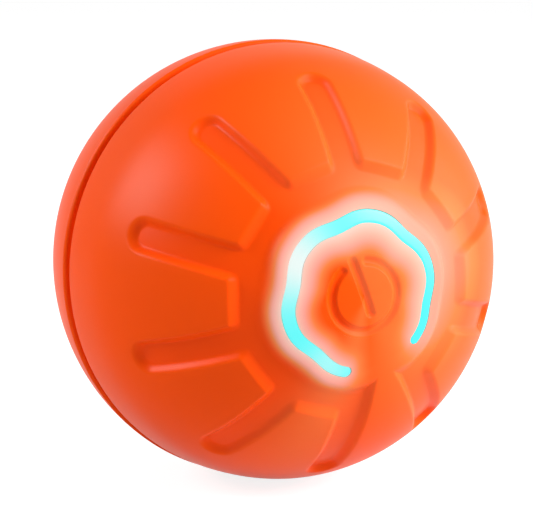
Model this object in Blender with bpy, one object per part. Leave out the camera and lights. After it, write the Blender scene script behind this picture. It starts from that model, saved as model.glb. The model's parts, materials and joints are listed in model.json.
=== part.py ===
"""Interactive pet ball: soft tread covers over a sealed shell with a geared swing weight.

The ball rolls about the Y axis. The button is at the -Y pole, the charging port at the +Y
pole, +Z is up and the origin is the centre of the ball. All sizes are in metres.
"""
import math

import bmesh
import bpy
import numpy as np

# Ball and its layers
BALL_RADIUS = 0.0400
COVER_WALL = 0.0028
SHELL_WALL = 0.0018
FIT_GAP = 0.0003
SEAT_GAP = 0.0001
OVERRUN = 0.0030
FACE_TURN_DEG = -19.7

# Tread of the covers, with places on the sphere as angles from the pole
CHANNEL_COUNT = 10
CHANNEL_WIDTH = 0.0047
TREAD_DEPTH = 0.0010
EDGE_SLOPE = 0.0012
HUB_EDGE_DEG = 25.0
PANEL_EDGE_DEG = 32.8
CHANNEL_END_DEG = 60.0
WAVE_COUNT = 6
WAVE_DEG = 0.65

# Seam between the covers, and the bead that holds each cover on its shell
SEAM_GAP = 0.0003
LIP_ROUND = 0.0008
FRONT_TUCK = 0.0003
BEAD_HEIGHT = 0.0007
BEAD_WIDTH = 0.0024
BEAD_PLACE_DEG = 77.0

# Light guide
STRIP_PLACE_DEG = 18.84
STRIP_END_DEG = 147.0
STRIP_WIDTH = 0.0024
GUIDE_FLANGE_RIM = 0.0012
GUIDE_FLANGE = 0.0008

# Button
BUTTON_RADIUS = 0.0073
BUTTON_FLANGE_RIM = 0.0013
BUTTON_FLANGE = 0.0005
BUTTON_TRAVEL = 0.0005
BUTTON_SEAT_DEPTH = 0.0004
SIGN_RING_DEG = 9.0
SIGN_GAP_DEG = 23.0
SIGN_WIDTH = 0.0013
SIGN_FLOOR_WIDTH = 0.0006
SIGN_DEPTH = 0.0005
BAR_TOP_DEG = 9.2
BAR_FOOT_DEG = 5.0
POST_RADIUS = 0.0020
POST_HEAD_RADIUS = 0.0040
POST_HEAD = 0.0008

# Joint of the two shells
RIM_BAND = 0.0043
RIM_DEPTH = 0.0050
RIM_TAPER = 0.0025
SPIGOT_WALL = 0.0020
SPIGOT_HEIGHT = 0.0030
SEAL_GROOVE_WIDTH = 0.0015
SEAL_GROOVE_DEPTH = 0.0016
SEAL_RADIUS = 0.0005

# Shell screws and their bosses
BOSS_RADIUS = 0.0036
BOSS_FLOOR = 0.0029
SCREW_SHANK = 0.0011
SCREW_HEAD_RADIUS = 0.0020
SCREW_HEAD = 0.0013
SCREW_LENGTH = 0.0080
SMALL_HEAD_RADIUS = 0.0018
SMALL_HEAD = 0.0011
SMALL_SCREW_LENGTH = 0.0060
FRONT_SCREW_ANGLES_DEG = (60.0, 180.0, 300.0)
REAR_SCREW_ANGLES_DEG = (0.0, 120.0, 240.0)

# Frames
FRAME_ROOM = 0.0074
FRAME_EDGE = 0.0032
FRAME_PLATE = 0.0016
PILLAR_RADIUS = 0.0030
FRONT_PLATE_Y = -0.0130
AXLE_BOSS_WALL = 0.0017
AXLE_BOSS_DEPTH = 0.0035
BOARD_POST_RADIUS = 0.0018
WIRE_ROOM = 0.0004

# Gears
MODULE = 0.0007
PRESSURE_DEG = 20.0
BACKLASH = 0.00010
TIP_ROOM_SHARE = 1.25
SHIFT_SHARE = 0.45
MOTOR_TEETH = 9
SMALL_TEETH = 10
WHEEL_TEETH = 24
FINAL_TEETH = 30
GEAR_WIDTH = 0.0020
SLEEVE_RADIUS = 0.0020
PIN_RADIUS = 0.0010
SECOND_GEAR_ANGLE_DEG = 90.0
FIRST_GEAR_ANGLE_DEG = -25.0
MOTOR_ANGLE_DEG = -85.0
GEAR_PLATE = 0.0014
GEAR_PLATE_RADIUS = 0.0205
HUB_ROOM = 0.0011
GEAR_PLATE_EDGE = 0.0025
GEAR_PILLAR_RADIUS = 0.0023
GEAR_PILLAR_ANGLES_DEG = (150.0, 217.0, 285.0)
WINDOW_RADIUS = 0.0042

# Motor
MOTOR_RADIUS = 0.0077
MOTOR_FLAT = 0.0060
MOTOR_LENGTH = 0.0136
MOTOR_CAP = 0.0013
MOTOR_SLEEVE_WALL = 0.0012
MOTOR_SLEEVE_DEPTH = 0.0050
MOTOR_NOSE_HOLE = 0.0033
TERMINAL_WIDTH = 0.0016
TERMINAL_THICKNESS = 0.0005
TERMINAL_HEIGHT = 0.0006
TERMINAL_OFFSET = 0.0042

# Axle, bushes, carrier and weight
AXLE_RADIUS = 0.0025
BUSH_WALL = 0.0008
BUSH_LENGTH = 0.0040
KEYED_WALL = 0.0012
KEYED_ROOT = 0.0010
KEY_COUNT = 3
KEY_WIDTH = 0.0016
KEY_HEIGHT = 0.0009
ARM_THICKNESS = 0.0022
ARM_HALF_ANGLE_DEG = 74.0
WEIGHT_HALF_ANGLE_DEG = 70.0
WEIGHT_INNER_RADIUS = 0.0140
WEIGHT_ROOM = 0.0016
WEIGHT_THICKNESS = 0.0077
ARM_INSET = 0.0010
ARM_NECK_RADIUS = 0.0085
WEIGHT_SCREW_ANGLES_DEG = (-40.0, 40.0)

# Light board, its LEDs and the switch
LED_ROOM = 0.0004
BOARD_THICKNESS = 0.0012
LIGHT_BOARD_EDGE = 0.0012
LED_COUNT = 7
LED_SIZE = 0.0028
LED_HEIGHT = 0.0011
LIGHT_POST_CIRCLE = 0.0070
LIGHT_POST_ANGLES_DEG = (110.0, 250.0)
SWITCH_SIZE = 0.0060
SWITCH_CORNER = 0.0005
SWITCH_HEIGHT = 0.0026
PLUNGER_RADIUS = 0.0016
PLUNGER_HOLE_DEPTH = 0.0016

# Battery and main board
BATTERY_LENGTH = 0.0300
BATTERY_WIDTH = 0.0200
BATTERY_THICKNESS = 0.0060
BATTERY_CORNER = 0.0015
BATTERY_STAND = 0.0025
TRAY_WALL = 0.0012
TRAY_HEIGHT = 0.0065
TRAY_GAP = 0.0003
BATTERY_ROOM = 0.0016
RIB_PLACE_SHARES = (0.60, 0.72)
RIB_LENGTH_SHARE = 0.8
BOARD_ROOM = 0.0025
BOARD_POST_EDGE = 0.0025
CHIP_SIZE = 0.0060
CHIP_HEIGHT = 0.0010
SMALL_CHIP_SIZE = 0.0030

# Charging port and its flap
SOCKET_LENGTH = 0.0090
SOCKET_WIDTH = 0.0032
SOCKET_INSET = 0.0043
SOCKET_MOUTH_WALL = 0.0004
SOCKET_MOUTH_DEPTH = 0.0060
SOCKET_TONGUE = 0.0007
PLUG_END_ROOM = 0.0030
PLUG_SIDE_ROOM = 0.0029
WELL_CORNER = 0.0020
WELL_WALL = 0.0012
WELL_FLOOR = 0.0012
PORT_SIDE_EDGE = 0.0017
PORT_FAR_EDGE = 0.0021
PORT_HINGE_ROOM = 0.0011
FLAP_GAP = 0.0003
FLAP_RIM_WALL = 0.0009
FLAP_RIM_DEPTH = 0.0020
FLAP_RIM_END_GAP = 0.0006
FLAP_FLOOR_GAP = 0.0004
HINGE_ROOM = 0.0015
HINGE_DEPTH = 0.0025
KNUCKLE_RADIUS = 0.0011
HINGE_PIN_RADIUS = 0.0005
LUG_RADIUS = 0.00105
LUG_FOOT_SHARE = 0.8
LUG_WIDTH = 0.0018
LUG_GAP = 0.0005

# Wire harness: shares of the way to its exit, of half the battery's stand, and of the wall
HARNESS_RADIUS = 0.0008
HARNESS_EXIT_SHARE = -0.2
HARNESS_ROUTE_SHARES = (
    (0.00, -0.60, 0.00),
    (0.08, -0.12, 0.08),
    (0.20, 0.00, 0.20),
    (0.80, 0.00, 0.80),
    (1.00, 0.30, 0.98),
    (1.00, 1.20, 1.07),
)
HARNESS_RISE_SHARE = 1.1

# Places of the rows that shape the covers, shells, pad and flap
HUB_ROW_DEG = 15.0
REAR_HUB_ROWS_DEG = (8.0, 16.0)
CHANNEL_END_TURNS_DEG = (36.0, 70.0)
TUCK_ROWS_DEG = (72.0, 82.0)
TUCK_SHARES = (0.0, 0.6)
LAYER_ROWS_DEG = (60.0, 45.0, 30.0)
REAR_LAYER_ROW_DEG = 15.0
SHELL_ROWS_DEG = (60.0, 40.0, 25.0)
BOSS_TRIM_ROWS_DEG = (25.0, 50.0, 75.0)
FLAP_DOME_ROWS_DEG = (7.0, 16.0, 25.0, 40.0)
PAD_ROW_SHARES = (0.3, 0.65)
CREASE_DEG = 32.0

# Resolution
SECTOR_COLUMNS = 5
COVER_COLUMNS = SECTOR_COLUMNS * CHANNEL_COUNT
SHELL_COLUMNS = COVER_COLUMNS // 2
PLATE_STEPS = 30
PAD_STEPS = 20
ROUND_STEPS = 16
PILLAR_STEPS = 8
SMALL_STEPS = 8
SEAL_STEPS = 6
STRIP_STEPS = 26
SIGN_STEPS = 14

# Layers of the ball that follow from the sizes above
COVER_INNER = BALL_RADIUS - COVER_WALL
SHELL_OUTER = COVER_INNER - FIT_GAP
SHELL_INNER = SHELL_OUTER - SHELL_WALL
SHELL_FLAT = SHELL_OUTER - BUTTON_SEAT_DEPTH
RIM_INNER_RADIUS = SHELL_OUTER - RIM_BAND
SPIGOT_OUTER = RIM_INNER_RADIUS + SPIGOT_WALL
SEAL_OUTER = SPIGOT_OUTER + SEAL_GROOVE_WIDTH
FACE_TURN = math.radians(FACE_TURN_DEG)

# Button and light guide that follow
GUIDE_FLANGE_WIDTH = STRIP_WIDTH + 2 * GUIDE_FLANGE_RIM
BUTTON_FLANGE_RADIUS = BUTTON_RADIUS + BUTTON_FLANGE_RIM
BUTTON_BOTTOM = SHELL_FLAT + FIT_GAP + BUTTON_TRAVEL
BUTTON_CEILING = BUTTON_BOTTOM + BUTTON_FLANGE + FIT_GAP
POST_TOP = BUTTON_BOTTOM + POST_HEAD

# Frames, bosses and screws that follow: the heads sink below the shell at their outer edge
FRAME_RADIUS = RIM_INNER_RADIUS - FRAME_ROOM
SCREW_CIRCLE = FRAME_RADIUS - FRAME_EDGE
SCREW_HOLE = SCREW_SHANK + FIT_GAP
SCREW_REACH = SCREW_CIRCLE + SCREW_HEAD_RADIUS
SCREW_HEAD_FACE = math.sqrt(SHELL_OUTER ** 2 - SCREW_REACH ** 2) - FIT_GAP
BOSS_END = SCREW_HEAD_FACE - SCREW_HEAD - BOSS_FLOOR
PILLAR_END = BOSS_END - FIT_GAP
WIRE_HOLE = HARNESS_RADIUS + WIRE_ROOM
AXLE_BORE = WIRE_HOLE + WIRE_ROOM
AXLE_BOSS_RADIUS = AXLE_RADIUS + AXLE_BOSS_WALL

# Hub, gear plate, arm and weight that follow
BUSH_OUTER = AXLE_RADIUS + SEAT_GAP + BUSH_WALL
KEYED_RADIUS = BUSH_OUTER + KEYED_WALL
HUB_RADIUS = KEYED_RADIUS + KEY_HEIGHT
GEAR_PLATE_HOLE = HUB_RADIUS + HUB_ROOM
GEAR_PILLAR_CIRCLE = GEAR_PLATE_RADIUS - GEAR_PLATE_EDGE
WEIGHT_OUTER_RADIUS = RIM_INNER_RADIUS - WEIGHT_ROOM
ARM_OUTER_RADIUS = WEIGHT_OUTER_RADIUS - ARM_INSET
WEIGHT_SCREW_CIRCLE = (WEIGHT_INNER_RADIUS + WEIGHT_OUTER_RADIUS) / 2

# Places along the Y axis that follow, from the front frame to the charging socket
FRONT_PLATE_TOP = FRONT_PLATE_Y + FRAME_PLATE
LAYER_STEP = GEAR_WIDTH + FIT_GAP
LAYER_1 = FRONT_PLATE_TOP + 2 * FIT_GAP
LAYER_2 = LAYER_1 + LAYER_STEP
LAYER_3 = LAYER_2 + LAYER_STEP
LAYERS_END = LAYER_3 + GEAR_WIDTH + FIT_GAP
GEAR_PLATE_Y = LAYERS_END + FIT_GAP
GEAR_PLATE_TOP = GEAR_PLATE_Y + GEAR_PLATE
ARM_Y = GEAR_PLATE_TOP + 2 * FIT_GAP
ARM_TOP = ARM_Y + ARM_THICKNESS
WEIGHT_Y = ARM_TOP + FIT_GAP
WEIGHT_TOP = WEIGHT_Y + WEIGHT_THICKNESS
WEIGHT_HEAD_FACE = WEIGHT_TOP + SEAT_GAP + SMALL_HEAD
REAR_PLATE_Y = WEIGHT_HEAD_FACE + 2 * FIT_GAP
REAR_PLATE_TOP = REAR_PLATE_Y + FRAME_PLATE
BATTERY_Y = REAR_PLATE_TOP + BATTERY_STAND
MAIN_BOARD_Y = BATTERY_Y + BATTERY_THICKNESS + BATTERY_ROOM
MAIN_BOARD_TOP = MAIN_BOARD_Y + BOARD_THICKNESS
SOCKET_FACE_Y = SHELL_OUTER - SOCKET_INSET
WELL_FLOOR_TOP = SOCKET_FACE_Y + FIT_GAP

# Boards, LEDs, switch and wires that follow
LED_CIRCLE = BALL_RADIUS * math.sin(math.radians(STRIP_PLACE_DEG))
LED_REACH = LED_CIRCLE + LED_SIZE / 2
LED_FACE_Y = -math.sqrt((SHELL_INNER - LED_ROOM) ** 2 - LED_REACH ** 2)
LIGHT_BOARD_Y = LED_FACE_Y + LED_HEIGHT + SEAT_GAP
LIGHT_BOARD_RADIUS = LED_REACH + LIGHT_BOARD_EDGE
PLUNGER_HOLE = PLUNGER_RADIUS + FIT_GAP
SWITCH_TOP = SEAT_GAP + SWITCH_HEIGHT + PLUNGER_HOLE_DEPTH / 2
MAIN_BOARD_RADIUS = SCREW_CIRCLE - PILLAR_RADIUS - BOARD_ROOM
BOARD_POST_OFFSET = MAIN_BOARD_RADIUS - BOARD_POST_EDGE
HARNESS_EXIT_X = BATTERY_LENGTH * HARNESS_EXIT_SHARE

# Charging port, flap and hinge that follow
WELL_LENGTH = SOCKET_LENGTH + 2 * PLUG_END_ROOM
WELL_WIDTH = SOCKET_WIDTH + 2 * PLUG_SIDE_ROOM
HINGE_OFFSET = WELL_LENGTH / 2 + WELL_WALL + HINGE_ROOM
HINGE_Y = BALL_RADIUS - HINGE_DEPTH
HINGE_PIN_HOLE = HINGE_PIN_RADIUS + SEAT_GAP
PORT_HALF_WIDTH = WELL_WIDTH / 2 + PORT_SIDE_EDGE
PORT_FAR_END = WELL_LENGTH / 2 + PORT_FAR_EDGE
PORT_HINGE_END = HINGE_OFFSET + KNUCKLE_RADIUS + PORT_HINGE_ROOM
FLAP_NEAR_END = HINGE_OFFSET - KNUCKLE_RADIUS - FLAP_GAP
FLAP_BOTTOM = SHELL_OUTER + FLAP_FLOOR_GAP
KNUCKLE_HALF_LENGTH = PORT_HALF_WIDTH - LUG_WIDTH - 2 * LUG_GAP

def clear_scene():
    """Remove every object that the file holds."""
    for thing in list(bpy.data.objects):
        bpy.data.objects.remove(thing)


def make_object(name, points, faces):
    """Make an object from points and faces, with its faces turned outwards."""
    mesh = bpy.data.meshes.new(name)
    mesh.from_pydata([tuple(point) for point in points], [], faces)
    work = bmesh.new()
    work.from_mesh(mesh)
    bmesh.ops.recalc_face_normals(work, faces=work.faces)
    work.to_mesh(mesh)
    work.free()
    thing = bpy.data.objects.new(name, mesh)
    bpy.context.collection.objects.link(thing)
    return thing


def combine(target, tools, operation):
    """Join, cut or intersect the target with each tool, and use up the tools."""
    for tool in tools:
        modifier = target.modifiers.new(operation.lower(), "BOOLEAN")
        modifier.operation = operation
        modifier.solver = "EXACT"
        modifier.object = tool
        graph = bpy.context.evaluated_depsgraph_get()
        result = bpy.data.meshes.new_from_object(target.evaluated_get(graph))
        target.modifiers.clear()
        target.data = result
        bpy.data.objects.remove(tool)
    return target


def join(target, *tools):
    """Fuse the tools into the target."""
    return combine(target, tools, "UNION")


def cut(target, *tools):
    """Cut the tools out of the target."""
    return combine(target, tools, "DIFFERENCE")


def intersect(target, tool):
    """Keep only what the target shares with the tool."""
    return combine(target, [tool], "INTERSECT")


def finish(thing, material, origin=(0.0, 0.0, 0.0)):
    """Set the material, smooth shading and the object's origin."""
    thing.data.materials.clear()
    thing.data.materials.append(material)
    thing.data.shade_smooth()
    thing.data.set_sharp_from_angle(angle=math.radians(CREASE_DEG))
    offset = np.array(origin)
    for vertex in thing.data.vertices:
        vertex.co = tuple(np.array(vertex.co) - offset)
    thing.location = tuple(offset)
    return thing


def finish_all(things, material):
    """Finish each of several like pieces."""
    for thing in things:
        finish(thing, material)


def make_material(name, colour, roughness, metallic=0.0, alpha=1.0):
    """Make a material with its colour, roughness and metallic value."""
    material = bpy.data.materials.new(name)
    material.use_nodes = True
    shader = material.node_tree.nodes["Principled BSDF"]
    shader.inputs["Base Color"].default_value = (*colour, 1.0)
    shader.inputs["Roughness"].default_value = roughness
    shader.inputs["Metallic"].default_value = metallic
    shader.inputs["Alpha"].default_value = alpha
    return material


def around(radius, angle_deg):
    """Give the x and z of a place at a radius and an angle from +X towards +Z."""
    angle = math.radians(angle_deg)
    return (radius * math.cos(angle), radius * math.sin(angle))


def circle(radius, steps, centre=(0.0, 0.0)):
    """Give a circle's points in the xz plane."""
    return [
        (centre[0] + radius * math.cos(turn), centre[1] + radius * math.sin(turn))
        for turn in np.arange(steps) * (2 * math.pi / steps)
    ]


def hole_radius(radius, steps):
    """Give the corner radius of a many-sided hole that a round pin of this radius fits."""
    return radius / math.cos(math.pi / steps)


def rounded_rectangle(half_x, half_z, corner, steps=3):
    """Give a rectangle with round corners in the xz plane."""
    points = []
    for quarter, (side_x, side_z) in enumerate(((1, 1), (-1, 1), (-1, -1), (1, -1))):
        for step in range(steps + 1):
            turn = math.radians(90.0) * (quarter + step / steps)
            points.append((
                side_x * (half_x - corner) + corner * math.cos(turn),
                side_z * (half_z - corner) + corner * math.sin(turn),
            ))
    return points


def tab_outline(near, far, half_width, steps=8):
    """Give an outline that is straight at the near end and round at the far end."""
    centre = far - half_width
    arc = [
        (centre + half_width * math.cos(turn), half_width * math.sin(turn))
        for turn in np.linspace(-math.pi / 2, math.pi / 2, steps + 1)
    ]
    return [(near, -half_width)] + arc + [(near, half_width)]


def prism(name, outline, y_low, y_high):
    """Extrude an outline in the xz plane along Y."""
    count = len(outline)
    points = [(x, y_low, z) for x, z in outline] + [(x, y_high, z) for x, z in outline]
    faces = [list(range(count)), list(range(2 * count - 1, count - 1, -1))]
    for index in range(count):
        after = (index + 1) % count
        faces.append([index, after, count + after, count + index])
    return make_object(name, points, faces)


def cylinder(name, centre, radius, y_low, y_high, steps=ROUND_STEPS):
    """Make a cylinder along Y whose centre is at an x and a z."""
    return prism(name, circle(radius, steps, centre), y_low, y_high)


def drill(target, centre, radius, y_low, y_high, steps=SMALL_STEPS):
    """Cut a round hole along Y right through a piece that lies between two heights."""
    return cut(target, cylinder("hole", centre, radius, y_low - OVERRUN, y_high + OVERRUN, steps))


def block(name, x_range, y_range, z_range):
    """Make a box from its lowest and highest x, y and z."""
    outline = [
        (x_range[0], z_range[0]),
        (x_range[1], z_range[0]),
        (x_range[1], z_range[1]),
        (x_range[0], z_range[1]),
    ]
    return prism(name, outline, *y_range)


def turned(name, profile, steps=ROUND_STEPS, centre=(0.0, 0.0)):
    """Turn a closed profile of (radius, y) points about a line along Y."""
    loops = []
    for radius, y in profile:
        if radius > 0:
            loops.append([(x, y, z) for x, z in circle(radius, steps, centre)])
        else:
            loops.append([(centre[0], y, centre[1])])
    return loft(name, loops)


def loft(name, loops):
    """Join a closed run of loops; neighbours have equal counts, 2 to 1, or one is a point."""
    points = [point for loop in loops for point in loop]
    starts = np.cumsum([0] + [len(loop) for loop in loops])
    reach = [math.dist(point, (0.0, 0.0, 0.0)) for point in points]
    faces = []
    for index in range(len(loops)):
        after = (index + 1) % len(loops)
        first = list(range(starts[index], starts[index + 1]))
        second = list(range(starts[after], starts[after + 1]))
        if len(first) > 1 or len(second) > 1:
            faces.extend(loop_faces(first, second, reach))
    return make_object(name, points, faces)


def loop_faces(first, second, reach):
    """Give the triangles between two loops, with the flatter diagonal in each four-sided cell."""
    if len(first) < len(second):
        return [face[::-1] for face in loop_faces(second, first, reach)]
    count = len(first)
    faces = []
    if len(second) == 1:
        return [[first[i], first[(i + 1) % count], second[0]] for i in range(count)]
    if len(second) < count:
        for i in range(len(second)):
            a, b, c = first[2 * i], first[2 * i + 1], first[(2 * i + 2) % count]
            d, e = second[i], second[(i + 1) % len(second)]
            faces.extend([[a, b, d], [b, e, d], [b, c, e]])
        return faces
    for i in range(count):
        a, b = first[i], first[(i + 1) % count]
        c, d = second[(i + 1) % count], second[i]
        if abs(reach[a] - reach[c]) <= abs(reach[b] - reach[d]):
            faces.extend([[a, b, c], [a, c, d]])
        else:
            faces.extend([[a, b, d], [b, c, d]])
    return faces


def on_sphere(radius, colatitude, azimuth, side):
    """Give points on a sphere: azimuth runs from +Z towards +X, side is -1 front or 1 rear."""
    colatitude, azimuth, radius = np.broadcast_arrays(colatitude, azimuth, radius)
    return np.stack([
        radius * np.sin(colatitude) * np.sin(azimuth),
        side * radius * np.cos(colatitude),
        radius * np.sin(colatitude) * np.cos(azimuth),
    ], axis=-1)


def azimuths(count):
    """Give even azimuths whose columns straddle each channel's middle."""
    first = math.pi / CHANNEL_COUNT + math.pi / COVER_COLUMNS
    return FACE_TURN + first + np.arange(count) * (2 * math.pi / count)


def ring(radius, y, count):
    """Give an even loop of points at a radius and a y."""
    turns = azimuths(count)
    return np.stack([radius * np.sin(turns), np.full(count, y), radius * np.cos(turns)], axis=-1)


def sphere_ring(radius, colatitude, side, count):
    """Give an even loop of points on a sphere at an angle from the pole."""
    return ring(radius * math.sin(colatitude), side * radius * math.cos(colatitude), count)


# Tread surface of a cover: columns follow the channels, rows follow the hub, panels and ends


def channel_rows(half_floor, half_top):
    """Give each row's angle from the pole and distances from a channel's middle plane.

    A row holds the floor column's (angle, distance, height) and the top column's, where
    height is 0 on the floor and 1 on top; beyond the round end both are on top.
    """
    slope = EDGE_SLOPE / BALL_RADIUS
    end = math.radians(CHANNEL_END_DEG)
    rows = []
    for angle in np.linspace(math.radians(PANEL_EDGE_DEG) + slope / 2, end, 3):
        rows.append(((angle, half_floor, 0), (angle, half_top, 1)))
    for turn in np.radians(CHANNEL_END_TURNS_DEG):
        rows.append((
            (end + half_floor * math.sin(turn) / BALL_RADIUS, half_floor * math.cos(turn), 0),
            (end + half_top * math.sin(turn) / BALL_RADIUS, half_top * math.cos(turn), 1),
        ))
    tip = half_top * math.cos(math.radians(CHANNEL_END_TURNS_DEG[-1]))
    rows.append((
        (end + half_top / BALL_RADIUS, tip, 1),
        (end + (half_top + EDGE_SLOPE) / BALL_RADIUS, half_top, 1),
    ))
    return rows


def tread_row(floor_column, top_column, panel_angle, panel_height, side, bridge_height=None):
    """Give one loop of the tread: per sector two floor, two top and one panel column."""
    loop = []
    sector = 2 * math.pi / CHANNEL_COUNT
    for index in range(CHANNEL_COUNT):
        middle = FACE_TURN + sector * (index + 0.5)
        entries = []
        for column in (floor_column, top_column):
            angle, distance, height = column
            half = math.asin(distance / (BALL_RADIUS * math.sin(angle)))
            entries.append((angle, half, height))
        (floor_angle, floor_half, floor_height), (top_angle, top_half, top_height) = entries
        heights = [top_height, top_height, panel_height]
        if bridge_height is not None:
            bridges = [is_bridge(index, side), is_bridge(index + 1, side), is_bridge(index + 1, side)]
            heights = [bridge_height if bridge else low for bridge, low in zip(bridges, heights)]
        places = [
            (top_angle, middle - top_half, heights[0]),
            (floor_angle, middle - floor_half, floor_height),
            (floor_angle, middle + floor_half, floor_height),
            (top_angle, middle + top_half, heights[1]),
            (panel_angle, middle + sector / 2, heights[2]),
        ]
        for angle, azimuth, height in places:
            radius = BALL_RADIUS - TREAD_DEPTH * (1 - height)
            loop.append(on_sphere(radius, angle, azimuth, side))
    return np.roll(np.array(loop), -2, axis=0)


def is_bridge(index, side):
    """Say whether the panel before channel number index joins the hub: one does, in front."""
    return side < 0 and index % CHANNEL_COUNT == CHANNEL_COUNT // 2


def wave(azimuth):
    """Give the wave of the hub and the light strip as an angle, for an azimuth from the sign."""
    return -math.radians(WAVE_DEG) * np.cos(WAVE_COUNT * azimuth)


def tread_loops(side, first_angles):
    """Give the loops of a cover's outer surface, from the pole outwards to the lip."""
    count = COVER_COLUMNS
    slope = EDGE_SLOPE / BALL_RADIUS
    half_floor = (CHANNEL_WIDTH - EDGE_SLOPE) / 2
    half_top = (CHANNEL_WIDTH + EDGE_SLOPE) / 2
    hub = math.radians(HUB_EDGE_DEG)
    panel = math.radians(PANEL_EDGE_DEG)
    turns = azimuths(count)
    loops = [sphere_ring(BALL_RADIUS, angle, side, count) for angle in first_angles]
    loops.append(on_sphere(BALL_RADIUS, hub - slope / 2 + wave(turns - FACE_TURN), turns, side))
    for angle in (hub + slope / 2, panel - slope / 2):
        floor = (angle, half_floor, 0)
        top = (angle, half_top, 0)
        loops.append(tread_row(floor, top, angle, 0, side, bridge_height=1))
    for floor, top in channel_rows(half_floor, half_top):
        loops.append(tread_row(floor, top, (floor[0] + top[0]) / 2, 1, side))
    tuck = FRONT_TUCK if side < 0 else 0.0
    for share, angle_deg in zip(TUCK_SHARES, TUCK_ROWS_DEG):
        loops.append(sphere_ring(BALL_RADIUS - share * tuck, math.radians(angle_deg), side, count))
    edge = SEAM_GAP / 2
    outer = BALL_RADIUS - tuck
    for turn in np.radians((0.0, 90.0)):
        loops.append(ring(
            outer - LIP_ROUND * (1 - math.cos(turn)),
            side * (edge + LIP_ROUND * (1 - math.sin(turn))),
            count,
        ))
    return loops


def bead_angles(extra):
    """Give the three angles of the bead's profile, widened by a gap for the groove."""
    middle = math.radians(BEAD_PLACE_DEG)
    half = (BEAD_WIDTH / 2 + extra) / COVER_INNER
    return (middle + half, middle, middle - half)


def layer_loops(radius, bead_gap, side, inner_angles_deg):
    """Give loops of a layer's surface from near the seam towards the pole, with its bead."""
    angles = bead_angles(bead_gap)
    rows = [(radius, angles[0]), (radius - BEAD_HEIGHT, angles[1]), (radius, angles[2])]
    rows += [(radius, math.radians(angle)) for angle in inner_angles_deg]
    return [sphere_ring(size, angle, side, SHELL_COLUMNS) for size, angle in rows]


def make_front_cover():
    """Front cover: tread outside, bead and button counterbore inside, slot for the light."""
    hole = BUTTON_RADIUS + FIT_GAP
    counterbore = BUTTON_FLANGE_RADIUS + FIT_GAP
    count = COVER_COLUMNS
    hole_angle = math.asin(hole / BALL_RADIUS)
    loops = [ring(hole, -BUTTON_CEILING, count)]
    loops += tread_loops(-1, (hole_angle, math.radians(HUB_ROW_DEG)))
    loops.append(ring(COVER_INNER, -SEAM_GAP / 2, SHELL_COLUMNS))
    loops += layer_loops(COVER_INNER, 0.0, -1, LAYER_ROWS_DEG)
    loops.append(sphere_ring(COVER_INNER, math.asin(counterbore / COVER_INNER), -1, SHELL_COLUMNS))
    loops.append(ring(counterbore, -BUTTON_CEILING, SHELL_COLUMNS))
    cover = loft("front_cover", loops)
    return cut(cover, strip_solid("slot", strip_path(), guide_levels(FIT_GAP)))


def make_rear_cover():
    """Rear cover: the same tread all round, with the opening for the charging flap."""
    loops = [[(0.0, BALL_RADIUS, 0.0)]]
    loops += tread_loops(1, np.radians(REAR_HUB_ROWS_DEG))
    loops.append(ring(COVER_INNER, SEAM_GAP / 2, SHELL_COLUMNS))
    loops += layer_loops(COVER_INNER, 0.0, 1, LAYER_ROWS_DEG + (REAR_LAYER_ROW_DEG,))
    loops.append([(0.0, COVER_INNER, 0.0)])
    cover = loft("rear_cover", loops)
    opening = tab_outline(-PORT_HINGE_END, PORT_FAR_END, PORT_HALF_WIDTH)
    return cut(cover, prism("opening", opening, SHELL_OUTER - OVERRUN, BALL_RADIUS + OVERRUN))


# Light guide and the engraved sign: solids that follow a path on the sphere


def strip_path():
    """Give the light strip's middle line as flat points, each an angle from the pole."""
    azimuth = np.radians(np.linspace(-STRIP_END_DEG, STRIP_END_DEG, STRIP_STEPS + 1))
    place = math.radians(STRIP_PLACE_DEG) + wave(azimuth)
    return polar_points(place, azimuth)


def polar_points(place, azimuth):
    """Lay angles from the pole out flat, turned with the face of the ball."""
    turn = azimuth + FACE_TURN
    return np.stack([place * np.sin(turn), place * np.cos(turn)], axis=-1)


def strip_solid(name, path, levels, side=-1, cap_steps=4):
    """Loft the outlines of a path at several levels of (half width, radius)."""
    ahead = np.gradient(path, axis=0)
    ahead /= np.linalg.norm(ahead, axis=1)[:, None]
    across = np.stack([ahead[:, 1], -ahead[:, 0]], axis=-1)
    count = len(path)
    cap_turns = np.linspace(0.0, math.pi, cap_steps + 1)[1:-1, None]
    points = []
    for half_width, radius in levels:
        width = half_width / BALL_RADIUS
        far_cap = width * (np.cos(cap_turns) * across[-1] + np.sin(cap_turns) * ahead[-1])
        near_cap = -width * (np.cos(cap_turns) * across[0] + np.sin(cap_turns) * ahead[0])
        flat = np.concatenate([
            path + width * across,
            path[-1] + far_cap,
            (path - width * across)[::-1],
            path[0] + near_cap,
        ])
        place = np.linalg.norm(flat, axis=1)
        points.extend(on_sphere(radius, place, np.arctan2(flat[:, 0], flat[:, 1]), side))
    size = len(points) // len(levels)
    faces = []
    for level in range(len(levels) - 1):
        for index in range(size):
            after = (index + 1) % size
            low = level * size
            faces.append([low + index, low + after, low + size + after, low + size + index])
    opposite = count + cap_steps - 1 + np.arange(count)[::-1]
    for low in (0, (len(levels) - 1) * size):
        for index in range(count - 1):
            corners = (index, index + 1, opposite[index + 1], opposite[index])
            faces.append([low + int(corner) for corner in corners])
        faces.append([low + index for index in range(count - 1, count + cap_steps)])
        near = [int(opposite[0]) + step for step in range(cap_steps)] + [0]
        faces.append([low + index for index in near])
    return make_object(name, points, faces)


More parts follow.
